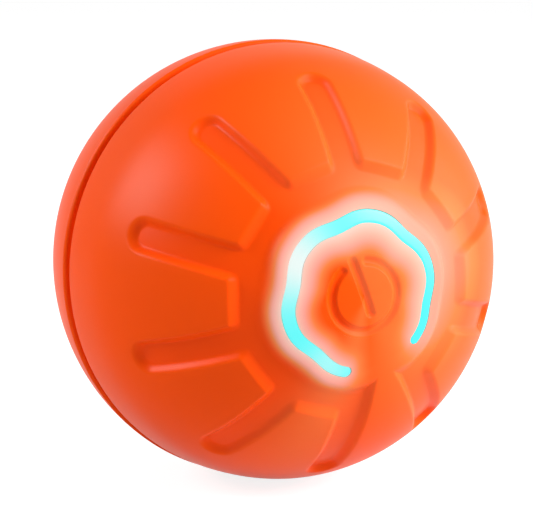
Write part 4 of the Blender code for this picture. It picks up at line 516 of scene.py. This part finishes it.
def strip_distance(sizes, lean, azimuth):
    """Distance to the light's middle line: across it within its reach, to its end beyond."""
    turn = signed(azimuth)
    held = np.clip(turn, -sizes.strip_reach, sizes.strip_reach)
    line = sizes.strip_angle + wave(sizes, held)
    swing = sizes.waves * sizes.wave_height * np.sin(sizes.waves * held)
    tilt = 1.0 / np.hypot(1.0, swing / math.sin(sizes.strip_angle))
    across = (lean - line) * sizes.radius * np.where(held == turn, tilt, 1.0)
    along = (turn - held) * sizes.radius * np.sin(lean)
    return np.hypot(across, along)


def strip_half(sizes, azimuth):
    """Half the light's width: its mean, swelled by a cosine of the azimuth."""
    swell = sizes.strip_swell * np.cos(azimuth - sizes.swell_turn)
    return sizes.strip_width / 2.0 * (1.0 + swell)


def strip_slot(sizes, lean, azimuth):
    """Depth share of the light's slot: 1 within its width, 0 outside, with steep walls."""
    room = strip_half(sizes, azimuth) + STRIP_FIT - strip_distance(sizes, lean, azimuth)
    return smooth(room / STRIP_WALL + 0.5)


def cover_rows(counts, last):
    """Angles from the pole of a cover's outer rows, with a count between each two stops."""
    stops = np.radians((HOLE_ROW_DEG,) + ROW_STOPS_DEG + (math.degrees(last),))
    spans = [np.linspace(low, high, count, endpoint=False)
             for low, high, count in zip(stops[:-1], stops[1:], counts)]
    return np.append(np.concatenate(spans), last)


def cover_grid(sizes, side, hole, per_sector):
    """Closed surface of a cover: from the hole over the tread, round the lip and back inside.

    Each row is an angle from the pole. Near the hole the rows take the hole's outline, and they
    relax to circles further out; in front they follow the wave in between. The radius is the
    ball's, less the tread's depth times one minus its height, less the slot of the light. hole
    gives the hole's distance from the axis for an azimuth from +Z.
    """
    first = math.radians(HOLE_ROW_DEG)
    lip = lip_profile(sizes, side)
    last = math.acos(abs(lip[0][1]) / sizes.radius)
    rows = cover_rows(FRONT_ROW_COUNTS if side < 0 else REAR_ROW_COUNTS, last)
    azimuth = column_azimuths(sizes, rows, per_sector)
    spread = 1.0 - rise(rows, first, math.radians(RELAX_OVER_DEG))
    edge = np.arcsin(hole(azimuth + sizes.face_turn) / sizes.radius)
    lean = rows[:, None] + spread[:, None] * (edge - first)
    if side < 0:
        over = math.radians(WAVE_OVER_DEG)
        pull = rise(rows, first, over) * (1.0 - rise(rows, math.radians(WAVE_FADE_DEG), over))
        lean = lean + pull[:, None] * wave(sizes, azimuth)
    height = tread_height(sizes, lean, azimuth, side)
    radius = sizes.radius - sizes.tread_depth * (1.0 - height)
    if side < 0:
        tuck = rise(np.degrees(lean), *TUCK_SPAN_DEG)
        radius = radius - sizes.front_tuck * tuck
        radius = radius - sizes.strip_sink * strip_slot(sizes, lean, azimuth)
    outer = on_sphere(radius, lean, azimuth + sizes.face_turn, side)
    rim = round_axis(lip, azimuth[-1] + sizes.face_turn)
    inside = inner_rows(sizes, side, azimuth[0] + sizes.face_turn, hole)
    return np.concatenate([outer, rim, inside])


def lip_profile(sizes, side):
    """Profile of a lip at the seam, as (distance from the axis, place along it).

    Both lips are quarter circles. The rear one drops straight to the inner radius. The front
    one drops to a ledge, which runs to the seam and makes the groove that shows outside.
    """
    turns = np.radians(LIP_TURNS_DEG)
    ledge = sizes.groove_width if side < 0 else 0.0
    bend = sizes.front_lip if side < 0 else sizes.rear_lip
    face = sizes.seam_half + ledge
    centre = face + bend
    top = math.sqrt(sizes.radius ** 2 - centre ** 2) - (sizes.front_tuck if side < 0 else 0.0)
    profile = [(top - bend * (1.0 - math.cos(t)), side * (centre - bend * math.sin(t)))
               for t in turns]
    if side < 0:
        floor = top - sizes.groove_depth
        profile += [(floor, side * face), (floor, side * sizes.seam_half)]
    return profile + [(sizes.inner_radius, side * sizes.seam_half)]


def inner_rows(sizes, side, heading, hole):
    """Rows of the cover's inner side: a sphere from the seam back to the hole's outline."""
    rim = sizes.inner_radius
    edge = np.arcsin(hole(heading) / rim)
    steps = np.linspace(1.0, 0.0, INNER_ROWS)[:, None]
    lean = edge[None, :] + steps * (math.radians(INNER_LAST_DEG) - edge[None, :])
    return on_sphere(rim, lean, heading[None, :], side)


def round_hole(radius, heading):
    """Outline of a round hole: the same distance from the axis in every direction."""
    return np.full_like(heading, radius)


def tab_hole(near, far, half, heading):
    """Outline of a tab: straight near end, straight sides and a round far end.

    The distance along a direction is the least of those to the near end's line and the sides'
    lines, and past the round end's centre it is the far meeting with its circle.
    """
    x = np.sin(heading)
    z = np.cos(heading)
    side = half / np.maximum(np.abs(z), LEAST)
    end = np.where(x < 0.0, near / np.maximum(-x, LEAST), np.inf)
    straight = np.minimum(side, end)
    centre = far - half
    spread = np.sqrt(np.maximum(half ** 2 - (centre * z) ** 2, 0.0))
    return np.where(straight * x > centre, centre * x + spread, straight)


# Materials


def put(node, **values):
    """Set a node's input sockets by name, with an underscore for each space."""
    for key, value in values.items():
        node.inputs[key.replace("_", " ")].default_value = value


def new_material(name, **values):
    """Make a material and give it back with its shader, whose sockets get the values."""
    material = bpy.data.materials.new(name)
    material.use_nodes = True
    shader = material.node_tree.nodes["Principled BSDF"]
    put(shader, **values)
    return material, shader


def add(beside, kind, **values):
    """Add a node beside another and set its properties and input sockets by name."""
    node = beside.id_data.nodes.new(kind)
    for key, value in values.items():
        if key in node.bl_rna.properties:
            setattr(node, key, value)
        else:
            put(node, **{key: value})
    return node


def link(source, target):
    """Join an output socket to an input socket."""
    source.id_data.links.new(source, target)


def object_place(shader, **change):
    """Object coordinates, which a Mapping node changes where a Scale or Rotation is given."""
    place = add(shader, "ShaderNodeTexCoord").outputs["Object"]
    if not change:
        return place
    mapping = add(shader, "ShaderNodeMapping", **change)
    link(place, mapping.inputs["Vector"])
    return mapping.outputs["Vector"]


def object_noise(shader, scale, detail=3.0, **change):
    """Noise on Object coordinates, which may be changed first."""
    noise = add(shader, "ShaderNodeTexNoise", Scale=scale, Detail=detail)
    link(object_place(shader, **change), noise.inputs["Vector"])
    return noise.outputs["Fac"]


def attribute(shader, name):
    """Number that is stored at the vertices under a name."""
    return add(shader, "ShaderNodeAttribute", attribute_name=name).outputs["Fac"]


def add_bump(shader, height, strength, distance=0.00003):
    """Bend the shading by a height, which reaches a distance in metres."""
    bump = add(shader, "ShaderNodeBump", Strength=strength, Distance=distance)
    link(height, bump.inputs["Height"])
    link(bump.outputs["Normal"], shader.inputs["Normal"])


def varied(shader, colours, fac, socket="Base Color"):
    """Run a shader's colour through evenly spaced colours by a factor from 0 to 1."""
    node = add(shader, "ShaderNodeValToRGB")
    stops = node.color_ramp.elements
    while len(stops) < len(colours):
        stops.new(0.5)
    for index, colour in enumerate(colours):
        stops[index].position = index / (len(colours) - 1)
        stops[index].color = (*colour, 1.0)
    link(fac, node.inputs["Fac"])
    link(node.outputs["Color"], shader.inputs[socket])


def uneven_gloss(shader, noise, low, high):
    """Stretch the usual range of a noise to a range of roughness, held at its ends."""
    node = add(shader, "ShaderNodeMapRange", From_Min=NOISE_LOW, From_Max=NOISE_HIGH,
               To_Min=low, To_Max=high)
    link(noise, node.inputs["Value"])
    link(node.outputs["Result"], shader.inputs["Roughness"])


def seen(beside):
    """1 for what the camera sees directly, by gloss or through clear plastic, otherwise 0."""
    path = add(beside, "ShaderNodeLightPath")
    value = path.outputs["Is Camera Ray"]
    for name in ("Is Glossy Ray", "Is Transmission Ray"):
        either = add(beside, "ShaderNodeMath", operation="MAXIMUM")
        link(value, either.inputs[0])
        link(path.outputs[name], either.inputs[1])
        value = either.outputs[0]
    return value


def soft_cover_material(colours):
    """Satin soft plastic, with painted shade in the recesses and the strip's light painted on it.
    """
    material, shader = new_material(
        "soft_cover", Roughness=0.38, Specular_IOR_Level=0.06, Subsurface_Weight=0.06,
        Subsurface_Radius=(0.004, 0.0012, 0.0005), Subsurface_Scale=0.3, Emission_Strength=1.0)
    # Painted shade: the cover's colour darkens by the stored depth of the recesses
    varied(shader, (colours.cover, colours.cover_shaded), attribute(shader, "recess"))
    # Painted light: the stored glow drives the cover's emission
    glows = (BLACK, colours.glow_far, colours.glow_rim, colours.glow_edge, colours.glow_near,
             colours.glow)
    varied(shader, glows, attribute(shader, "glow"), "Emission Color")
    grain = object_noise(shader, scale=5200.0, detail=2.0)
    add_bump(shader, grain, strength=0.10, distance=0.00002)
    return material


def light_material(colours):
    """Lit frosted plastic, palest where its light is strongest."""
    material, shader = new_material(
        "lit_guide", Base_Color=(0.02, 0.10, 0.10, 1.0), Roughness=0.35, Emission_Strength=1.0)
    lights = (colours.light, colours.light_pale)
    varied(shader, lights, attribute(shader, "pale"), "Emission Color")
    add_bump(shader, object_noise(shader, scale=2400.0), strength=0.05, distance=0.00002)
    return material


def darker(colour, share):
    """The same colour at a share of its light."""
    return tuple(channel * share for channel in colour)


def moulded_material(name, colour, roughness):
    """Moulded plastic: faint mottling and a fine spark-eroded grain."""
    material, shader = new_material(name)
    varied(shader, (colour, darker(colour, share=0.88)), object_noise(shader, scale=160.0))
    grain = object_noise(shader, scale=2700.0, detail=4.0)
    uneven_gloss(shader, grain, low=roughness - 0.05, high=roughness + 0.07)
    add_bump(shader, grain, strength=0.15)
    return material


def metal_material(name, colour, roughness, stretch):
    """Ground or drawn metal: fine lines along one way, with uneven gloss."""
    material, shader = new_material(name, Metallic=1.0)
    lines = object_noise(shader, scale=1.0, Scale=stretch)
    varied(shader, (colour, darker(colour, share=0.80)), lines)
    uneven_gloss(shader, lines, low=roughness - 0.06, high=roughness + 0.10)
    add_bump(shader, lines, strength=0.12)
    return material


def clear_shell_material():
    """Clear plastic with a slight haze and faint flow marks."""
    material, shader = new_material(
        "clear_shell", Base_Color=(0.90, 0.93, 0.95, 1.0), Transmission_Weight=0.75, IOR=1.50)
    haze = object_noise(shader, scale=60.0)
    uneven_gloss(shader, haze, low=0.10, high=0.26)
    add_bump(shader, haze, strength=0.05, distance=0.0001)
    return material


def board_material():
    """Circuit board: green solder mask with lighter tracks and a slight weave."""
    material, shader = new_material("circuit_board", Roughness=0.32, Coat_Weight=0.4)
    tracks = add(
        shader, "ShaderNodeTexBrick", Scale=420.0, Mortar_Size=0.03, offset=0.35,
        Color1=(0.012, 0.150, 0.060, 1.0), Color2=(0.015, 0.175, 0.072, 1.0),
        Mortar=(0.040, 0.300, 0.120, 1.0))
    upright = object_place(shader, Rotation=(math.radians(90.0), 0.0, 0.0))
    link(upright, tracks.inputs["Vector"])
    link(tracks.outputs["Color"], shader.inputs["Base Color"])
    add_bump(shader, tracks.outputs["Fac"], strength=0.2)
    return material


# Operators: one for each piece or group of like pieces


class BALL_OT_covers(bpy.types.Operator):
    """Covers: hub, valley, channels and panels, with openings for the button and the flap"""

    bl_idname = "ball.covers"
    bl_label = "Covers"

    def execute(self, context):
        """Build the front and the rear cover."""
        sizes = context.scene.ball_sizes
        pad = partial(round_hole, sizes.button_radius + PAD_FIT)
        flap = partial(tab_hole, HINGE_ROOM - FLAP_LOW.x, FLAP_HIGH.x + FLAP_FIT,
                       FLAP_HIGH.z + FLAP_FIT)
        for node, side, hole, columns, glow in (
            ("front_cover", -1, pad, FRONT_COLUMNS, painted_glow_of),
            ("rear_cover", 1, flap, REAR_COLUMNS, nothing),
        ):
            piece = make_piece(node + "_skin", (cover_grid(sizes, side, hole, columns), True))
            recess = partial(tread_shade, side=side)
            finish_soft(context, piece, glow, recess, "ball", "cover_orange", node)
        return {"FINISHED"}


def finish_soft(context, piece, glow, recess, *owners):
    """Store a soft piece's painted light and the depth for its painted shade, and give it the
    covers' one material.
    """
    sizes = context.scene.ball_sizes
    set_attribute(piece, "glow", glow, sizes)
    set_attribute(piece, "recess", recess, sizes)
    found = bpy.data.materials.get("soft_cover")
    own(piece, found or soft_cover_material(context.scene.ball_colours), *owners)


def polar(sizes, places, side):
    """Angle from the pole and azimuth from the sign of places."""
    radius = np.linalg.norm(places, axis=1)
    lean = np.arccos(np.clip(side * places[:, 1] / radius, -1.0, 1.0))
    azimuth = np.arctan2(places[:, 0], places[:, 2]) - sizes.face_turn
    return lean, azimuth


def swung(turn, swing):
    """A mean plus a cosine of the azimuth from the direction of its peak."""
    mean, size, towards_deg = swing
    return mean + size * np.cos(turn - math.radians(towards_deg))


def blend(inside, outside, share):
    """Between two values by a share from 0 to 1."""
    return inside + (outside - inside) * share


def painted_glow_of(sizes, places):
    """Painted light on the cover from the strip: amplitude times (one minus distance over
    reach)^power.

    Amplitude, reach and power are means and cosines of the azimuth, blended across the strip's
    line from their values inside its ring to those outside. The painted light fades near the
    strip's ends and, as painted shade, past the hub's edge, but it runs on where the azimuth
    points to the right, painting that side brighter. A weak wide painted light, falling evenly
    with distance, is added on all sides but the left, and on the bridge below the strip's lower
    end.
    The two are joined as the root of their squares' sum.
    """
    lean, azimuth = polar(sizes, places, -1)
    turn = signed(azimuth)
    offset = (lean - sizes.strip_angle - wave(sizes, turn)) * sizes.radius
    outside = smooth(offset / sizes.strip_width + 0.5)
    right = swung(turn, RIGHT_SWING) ** 2
    reach = blend(swung(turn, REACH_IN_SWING), REACH_OUT_LEFT + REACH_OUT_ADDED * right, outside)
    level = blend(swung(turn, LEVEL_IN_SWING), swung(turn, LEVEL_OUT_SWING), outside)
    power = blend(POWER_IN, POWER_OUT_LEFT + POWER_OUT_ADDED * right, outside)
    beside = np.maximum(strip_distance(sizes, lean, azimuth) - sizes.strip_width / 2.0, 0.0)
    fade = 1.0 - rise(np.degrees(np.abs(turn)), *END_SPAN_DEG)
    fade *= 1.0 - (1.0 - right) * (1.0 - hub_height(sizes, lean, azimuth))
    near = fade * level / FULL_LEVEL * np.maximum(1.0 - beside / reach, 0.0) ** power
    from_left = np.abs(np.degrees(signed(turn - math.radians(LEFT_DEG))))
    from_bridge = np.degrees(signed(turn - math.radians(BRIDGE_DEG)))
    bridge = np.exp(-(from_bridge / BRIDGE_WIDTH_DEG) ** 2)
    share = np.maximum(rise(from_left, *LEFT_SPAN_DEG), bridge)
    wide = share * np.maximum(WIDE_LEVEL - beside * WIDE_FALL, 0.0)
    return np.hypot(near, wide)


def nothing(sizes, places):
    """No light or depth anywhere."""
    return np.zeros(len(places))


def tread_shade(sizes, places, side):
    """How deep a place lies in the tread, from 0 on top to 1 in a recess, which sets the painted
    shade there.
    """
    lean, azimuth = polar(sizes, places, side)
    return 1.0 - tread_height(sizes, lean, azimuth, side)


class BALL_OT_light_guide(bpy.types.Operator):
    """Light guide: the glowing wavy strip with its hidden flange"""

    bl_idname = "ball.light_guide"
    bl_label = "Light Guide"

    def execute(self, context):
        """Build the light guide."""
        sizes = context.scene.ball_sizes
        foot = sizes.inner_radius
        shoulder = foot + sizes.strip_foot
        top = sizes.radius
        half = sizes.strip_width / 2.0
        levels = [(0.0, foot), (FLANGE_SHARE, foot), (FLANGE_SHARE, shoulder), (1.0, shoulder)]
        levels += [(share, top - drop * half) for share, drop in STRIP_TOP_ROWS]
        piece = make_piece("light_strip", (strip_loops(sizes, levels), False))
        set_attribute(piece, "pale", pale_of, sizes)
        own(piece, light_material(context.scene.ball_colours), "ball", "guide_cyan", "light_guide")
        return {"FINISHED"}


def strip_loops(sizes, levels):
    """Closed loops round the light's path at levels of (share of the half width, radius).

    The path is the wavy line laid out flat as (angle times sine, angle times cosine) of its
    azimuth. A loop runs along one side, round a half circle at the end, back along the other
    side and round the start.
    """
    azimuth = np.linspace(-sizes.strip_reach, sizes.strip_reach, STRIP_STEPS)
    place = sizes.strip_angle + wave(sizes, azimuth)
    heading = azimuth + sizes.face_turn
    path = np.stack([place * np.sin(heading), place * np.cos(heading)], axis=-1)
    ahead = np.gradient(path, axis=0)
    ahead /= np.linalg.norm(ahead, axis=1)[:, None]
    across = np.stack([ahead[:, 1], -ahead[:, 0]], axis=-1)
    turn = np.linspace(0.0, math.pi, STRIP_END_STEPS)[1:-1, None]
    far_cap = np.cos(turn) * across[-1] + np.sin(turn) * ahead[-1]
    near_cap = -np.cos(turn) * across[0] - np.sin(turn) * ahead[0]
    steps = np.arange(STRIP_STEPS)
    cap = np.zeros(len(turn), int)
    order = np.concatenate([steps, cap + steps[-1], steps[::-1], cap])
    offset = np.concatenate([across, far_cap, -across[::-1], near_cap])
    offset *= strip_half(sizes, azimuth[order])[:, None] / sizes.radius
    share, radius = np.array(levels).T[:, :, None]
    flat = path[order][None] + share[:, :, None] * offset[None]
    heading = np.arctan2(flat[..., 0], flat[..., 1])
    return on_sphere(radius, np.linalg.norm(flat, axis=-1), heading, -1)


def pale_of(sizes, places):
    """Where the strip is palest: bell curves of the azimuth, on an even level on the left."""
    _, azimuth = polar(sizes, places, -1)
    turn = np.degrees(signed(azimuth))
    bells = sum(size * np.exp(-((turn - middle) / width) ** 2)
                for middle, width, size in PALE_BELLS)
    return np.clip(PALE_LEVEL * (1.0 - rise(turn, *PALE_SPAN_DEG)) + bells, 0.0, 1.0)


class BALL_OT_power_button(bpy.types.Operator):
    """Power button: domed pad with the engraved sign and its hidden flange"""

    bl_idname = "ball.power_button"
    bl_label = "Power Button"

    def execute(self, context):
        """Build the button."""
        sizes = context.scene.ball_sizes
        rim = math.asin(sizes.button_radius / sizes.radius)
        rows = np.linspace(0.0, rim, PAD_ROWS)[:, None]
        azimuth = full_turn(PAD_COLUMNS)[None, :]
        radius = sizes.radius - sizes.sign_depth * sign_groove(sizes, rows, azimuth)
        top = on_sphere(radius, rows, azimuth + sizes.face_turn, -1)
        flange = PAD_HIGH.y - sizes.button_flange
        socket = POST_HIGH.x + POST_FIT
        floor = POST_LOW.y - POST_FIT
        below = round_axis((
            (sizes.button_radius, flange), (PAD_HIGH.x, flange), (PAD_HIGH.x, PAD_HIGH.y),
            (socket, PAD_HIGH.y), (socket, floor), (0.0, floor),
        ), azimuth[0] + sizes.face_turn)
        piece = make_piece("power_button_pad", (np.concatenate([top, below]), False))
        # The pad gets the covers' painted light and painted shade in its sign's grooves
        finish_soft(
            context, piece, painted_glow_of, sign_shade, "button", "button_orange", "power_button")
        return {"FINISHED"}


def sign_groove(sizes, lean, azimuth):
    """Depth share of the sign: a rounded groove along a broken ring and along a bar.

    The distance to the ring is across it within its reach, and to its end beyond. The bar is a
    straight line through the pole. The groove is one minus a smooth step over half its width.
    """
    turn = azimuth % (2.0 * math.pi)
    held = np.clip(turn, sizes.sign_gap, 2.0 * math.pi - sizes.sign_gap)
    ring = np.hypot(lean - sizes.sign_radius, (turn - held) * lean)
    x = lean * np.sin(azimuth)
    z = lean * np.cos(azimuth)
    bar = np.hypot(x, z - np.clip(z, sizes.bar_low, sizes.bar_high))
    distance = np.minimum(ring, bar) * sizes.radius
    return 1.0 - smooth(distance / (sizes.sign_width / 2.0))


def sign_shade(sizes, places):
    """Half of how deep a place lies in the sign, for the painted shade in its grooves."""
    lean, azimuth = polar(sizes, places, -1)
    return sign_groove(sizes, lean, azimuth) / 2.0


class BALL_OT_charging_flap(bpy.types.Operator):
    """Charging flap: domed skin, sealing rim and hinge knuckle"""

    bl_idname = "ball.charging_flap"
    bl_label = "Charging Flap"

    def execute(self, context):
        """Build the flap."""
        sizes = context.scene.ball_sizes
        piece = make_piece(
            "charging_flap", (flap_skin(sizes), False), (flap_rim(sizes), True),
            (flap_knuckle(sizes), False))
        finish_soft(context, piece, nothing, nothing, "flap", "cover_orange", "port_flap")
        return {"FINISHED"}


def flap_skin(sizes):
    """Skin of the flap: shrunken copies of its outline, domed on top and flat below.

    A row is the outline times a share; the top lies on the ball's sphere, the edge is rounded,
    and the underside is flat.
    """
    heading = full_turn(FLAP_STEPS)
    outline = tab_hole(FLAP_NEAR_END, FLAP_HIGH.x, FLAP_HIGH.z, heading)
    top_shares, drops = np.array(FLAP_TOP_ROWS).T
    under_shares, heights = np.array(FLAP_UNDER_ROWS).T
    reach = np.concatenate([top_shares, under_shares])[:, None] * outline[None, :]
    x = reach * np.sin(heading)
    z = reach * np.cos(heading)
    top = len(drops)
    dome = np.sqrt(sizes.radius ** 2 - x[:top] ** 2 - z[:top] ** 2) - drops[:, None]
    below = np.repeat(heights[:, None], len(heading), 1)
    return np.stack([x, np.concatenate([dome, below]), z], axis=-1)


def flap_rim(sizes):
    """Sealing rim: a wall carried round a rounded rectangle, with a small bead at its foot.

    The outline is a superellipse: the powers of both coordinates over their halves add up to 1.
    """
    heading = full_turn(RIM_STEPS)
    ways = (np.abs(np.sin(heading)) / sizes.rim_half_x) ** RIM_POWER
    ways += (np.abs(np.cos(heading)) / sizes.rim_half_z) ** RIM_POWER
    outline = ways ** (-1.0 / RIM_POWER)
    inset, y = np.array(RIM_ROWS).T[:, :, None]
    return turned(outline[None, :] - inset, y, heading)


def flap_knuckle(sizes):
    """Hinge knuckle: a rounded roll round the pin, with a tongue that runs to the skin."""
    turn = full_turn(KNUCKLE_STEPS)
    pin = (PIN_LOW + PIN_HIGH) / 2.0
    roll = pin.x - FLAP_LOW.x
    x = pin.x + roll * np.cos(turn)
    y = pin.y + roll * np.sin(turn)
    ahead = (np.cos(turn) > 0.0) & (np.abs(np.sin(turn)) < TONGUE_SINE)
    x = np.where(ahead, TONGUE_END, x)
    y = np.where(ahead, np.clip(y, TONGUE_LOW, TONGUE_HIGH), y)
    along, share = np.array(KNUCKLE_ROWS).T[:, :, None]
    return np.stack(np.broadcast_arrays(
        pin.x + share * (x - pin.x), pin.y + share * (y - pin.y), sizes.knuckle_half * along),
        axis=-1)


class BALL_OT_inner_pieces(bpy.types.Operator):
    """Inner pieces: a finish for each shell, frame, gear, weight, board, screw and wire"""

    bl_idname = "ball.inner_pieces"
    bl_label = "Inner Pieces"

    def execute(self, context):
        """Finish every packed node by its material slot."""
        finishes = {"shell_clear": clear_shell_material(), "board_green": board_material()}
        finishes.update({slot: moulded_material(*look) for slot, look in MOULDED.items()})
        finishes.update({slot: metal_material(*look) for slot, look in METAL.items()})
        for entry in frame["record"]["subparts"]:
            for slot in frame["nodes"][entry["node"]].material_slots:
                slot.material = finishes[entry["material_slot"]]
        return {"FINISHED"}


class BALL_OT_stage(bpy.types.Operator):
    """Stage: pale floor, soft lamps and the camera"""

    bl_idname = "ball.stage"
    bl_label = "Stage"

    def execute(self, context):
        """Build the stage."""
        scene = context.scene
        look = scene.ball_stage
        scene.view_settings.view_transform = "Standard"
        pale_floor(-scene.ball_sizes.radius, look.floor_reach)
        set_sky(scene, look.sky)
        key = around(look.key_azimuth, look.key_elevation, look.lamp_distance)
        side = around(look.side_azimuth, look.side_elevation, look.lamp_distance)
        fill = around(look.fill_azimuth, look.fill_elevation, look.lamp_distance)
        soft_lamp("key_lamp", key, look.key_size, look.key_power)
        soft_lamp("side_lamp", side, look.side_size, look.side_power)
        soft_lamp("shine", side, look.shine_size, look.shine_power, only_gloss=True)
        soft_lamp("fill_lamp", fill, look.fill_size, look.fill_power)
        set_camera(scene, look)
        return {"FINISHED"}


def around(azimuth, elevation, distance):
    """Place at a distance from the ball's centre, turned from straight in front and raised."""
    flat = distance * math.cos(elevation)
    return Vector((
        flat * math.sin(azimuth), -flat * math.cos(azimuth), distance * math.sin(elevation)))


def pale_floor(height, reach):
    """Wide floor that shows white to the camera and keeps the ball's soft shadow."""
    steps = np.linspace(-reach, reach, FLOOR_STEPS)
    points = np.stack(np.meshgrid(steps, steps, height), axis=-1)
    faces = grid_faces(FLOOR_STEPS, FLOOR_STEPS, close_rows=False, close_columns=False)
    mesh = bpy.data.meshes.new("pale_floor")
    mesh.from_pydata(points.reshape(-1, 3).tolist(), [], faces.tolist())
    floor = new_object("pale_floor", mesh)
    material, shader = new_material(
        "pale_floor", Roughness=0.9, Specular_IOR_Level=0.1, Emission_Strength=1.0)
    sees = seen(shader)
    varied(shader, (FLOOR_GREY, FLOOR_SEEN_GREY), sees)
    varied(shader, (BLACK, FLOOR_LIGHT), sees, "Emission Color")
    floor.data.materials.append(material)
    return floor


def set_sky(scene, strength):
    """Even white light from all sides, and plain white for what the camera and gloss see."""
    world = bpy.data.worlds.new("white_sky")
    world.use_nodes = True
    scene.world = world
    back = world.node_tree.nodes["Background"]
    put(back, Color=(1.0, 1.0, 1.0, 1.0))
    level = add(back, "ShaderNodeMapRange", To_Min=strength, To_Max=1.0)
    link(seen(back), level.inputs["Value"])
    link(level.outputs["Result"], back.inputs["Strength"])


def aimed(name, data, place):
    """Put a lamp or a camera at a place, facing the ball's centre."""
    item = new_object(name, data)
    item.location = place
    item.rotation_euler = (-place).to_track_quat("-Z", "Y").to_euler()
    return item


def soft_lamp(name, place, size, power, only_gloss=False):
    """Square area lamp that faces the ball. One for gloss alone stands for a studio reflector."""
    data = bpy.data.lights.new(name, "AREA")
    data.size = size
    data.energy = power
    aimed(name, data, place).visible_diffuse = not only_gloss


def set_camera(scene, look):
    """Camera at the photograph's angle, looking at the ball's centre, with a small shift."""
    data = bpy.data.cameras.new("camera")
    data.lens = look.lens
    data.shift_x = look.shift_x
    data.shift_y = look.shift_y
    data.clip_start = scene.ball_sizes.radius * CLIP_SHARE
    place = around(look.camera_azimuth, look.camera_elevation, look.camera_distance)
    scene.camera = aimed("camera", data, place)


class BALL_PT_builder(bpy.types.Panel):
    """Sizes, colours and the steps that build the ball"""

    bl_idname = "BALL_PT_builder"
    bl_label = "Pet Ball"
    bl_space_type = "VIEW_3D"
    bl_region_type = "UI"
    bl_category = "Pet Ball"

    def draw(self, context):
        """Draw the settings and the steps."""
        layout = self.layout
        for name, kind in GROUPS.items():
            box = layout.box()
            box.label(text=kind.__doc__)
            for key in kind.__annotations__:
                box.prop(getattr(context.scene, name), key)
        column = layout.column()
        for step in STEPS:
            column.operator(step.bl_idname)


GROUPS = {"ball_sizes": BallSizes, "ball_colours": BallColours, "ball_stage": StageLook}
STEPS = (
    BALL_OT_inner_pieces, BALL_OT_covers, BALL_OT_light_guide, BALL_OT_power_button,
    BALL_OT_charging_flap, BALL_OT_stage,
)
CLASSES = (*GROUPS.values(), *STEPS, BALL_PT_builder)


def register():
    """Register the classes and attach the settings to the scene."""
    for item in CLASSES:
        bpy.utils.register_class(item)
    for name, kind in GROUPS.items():
        setattr(bpy.types.Scene, name, PointerProperty(type=kind))


def unregister():
    """Take the settings and the classes away again."""
    for name in GROUPS:
        delattr(bpy.types.Scene, name)
    for item in reversed(CLASSES):
        bpy.utils.unregister_class(item)


def main():
    """Build the ball step by step."""
    register()
    bpy.ops.ball.inner_pieces()
    bpy.ops.ball.covers()
    bpy.ops.ball.light_guide()
    bpy.ops.ball.power_button()
    bpy.ops.ball.charging_flap()
    bpy.ops.ball.stage()


if __name__ == "__main__":
    main()
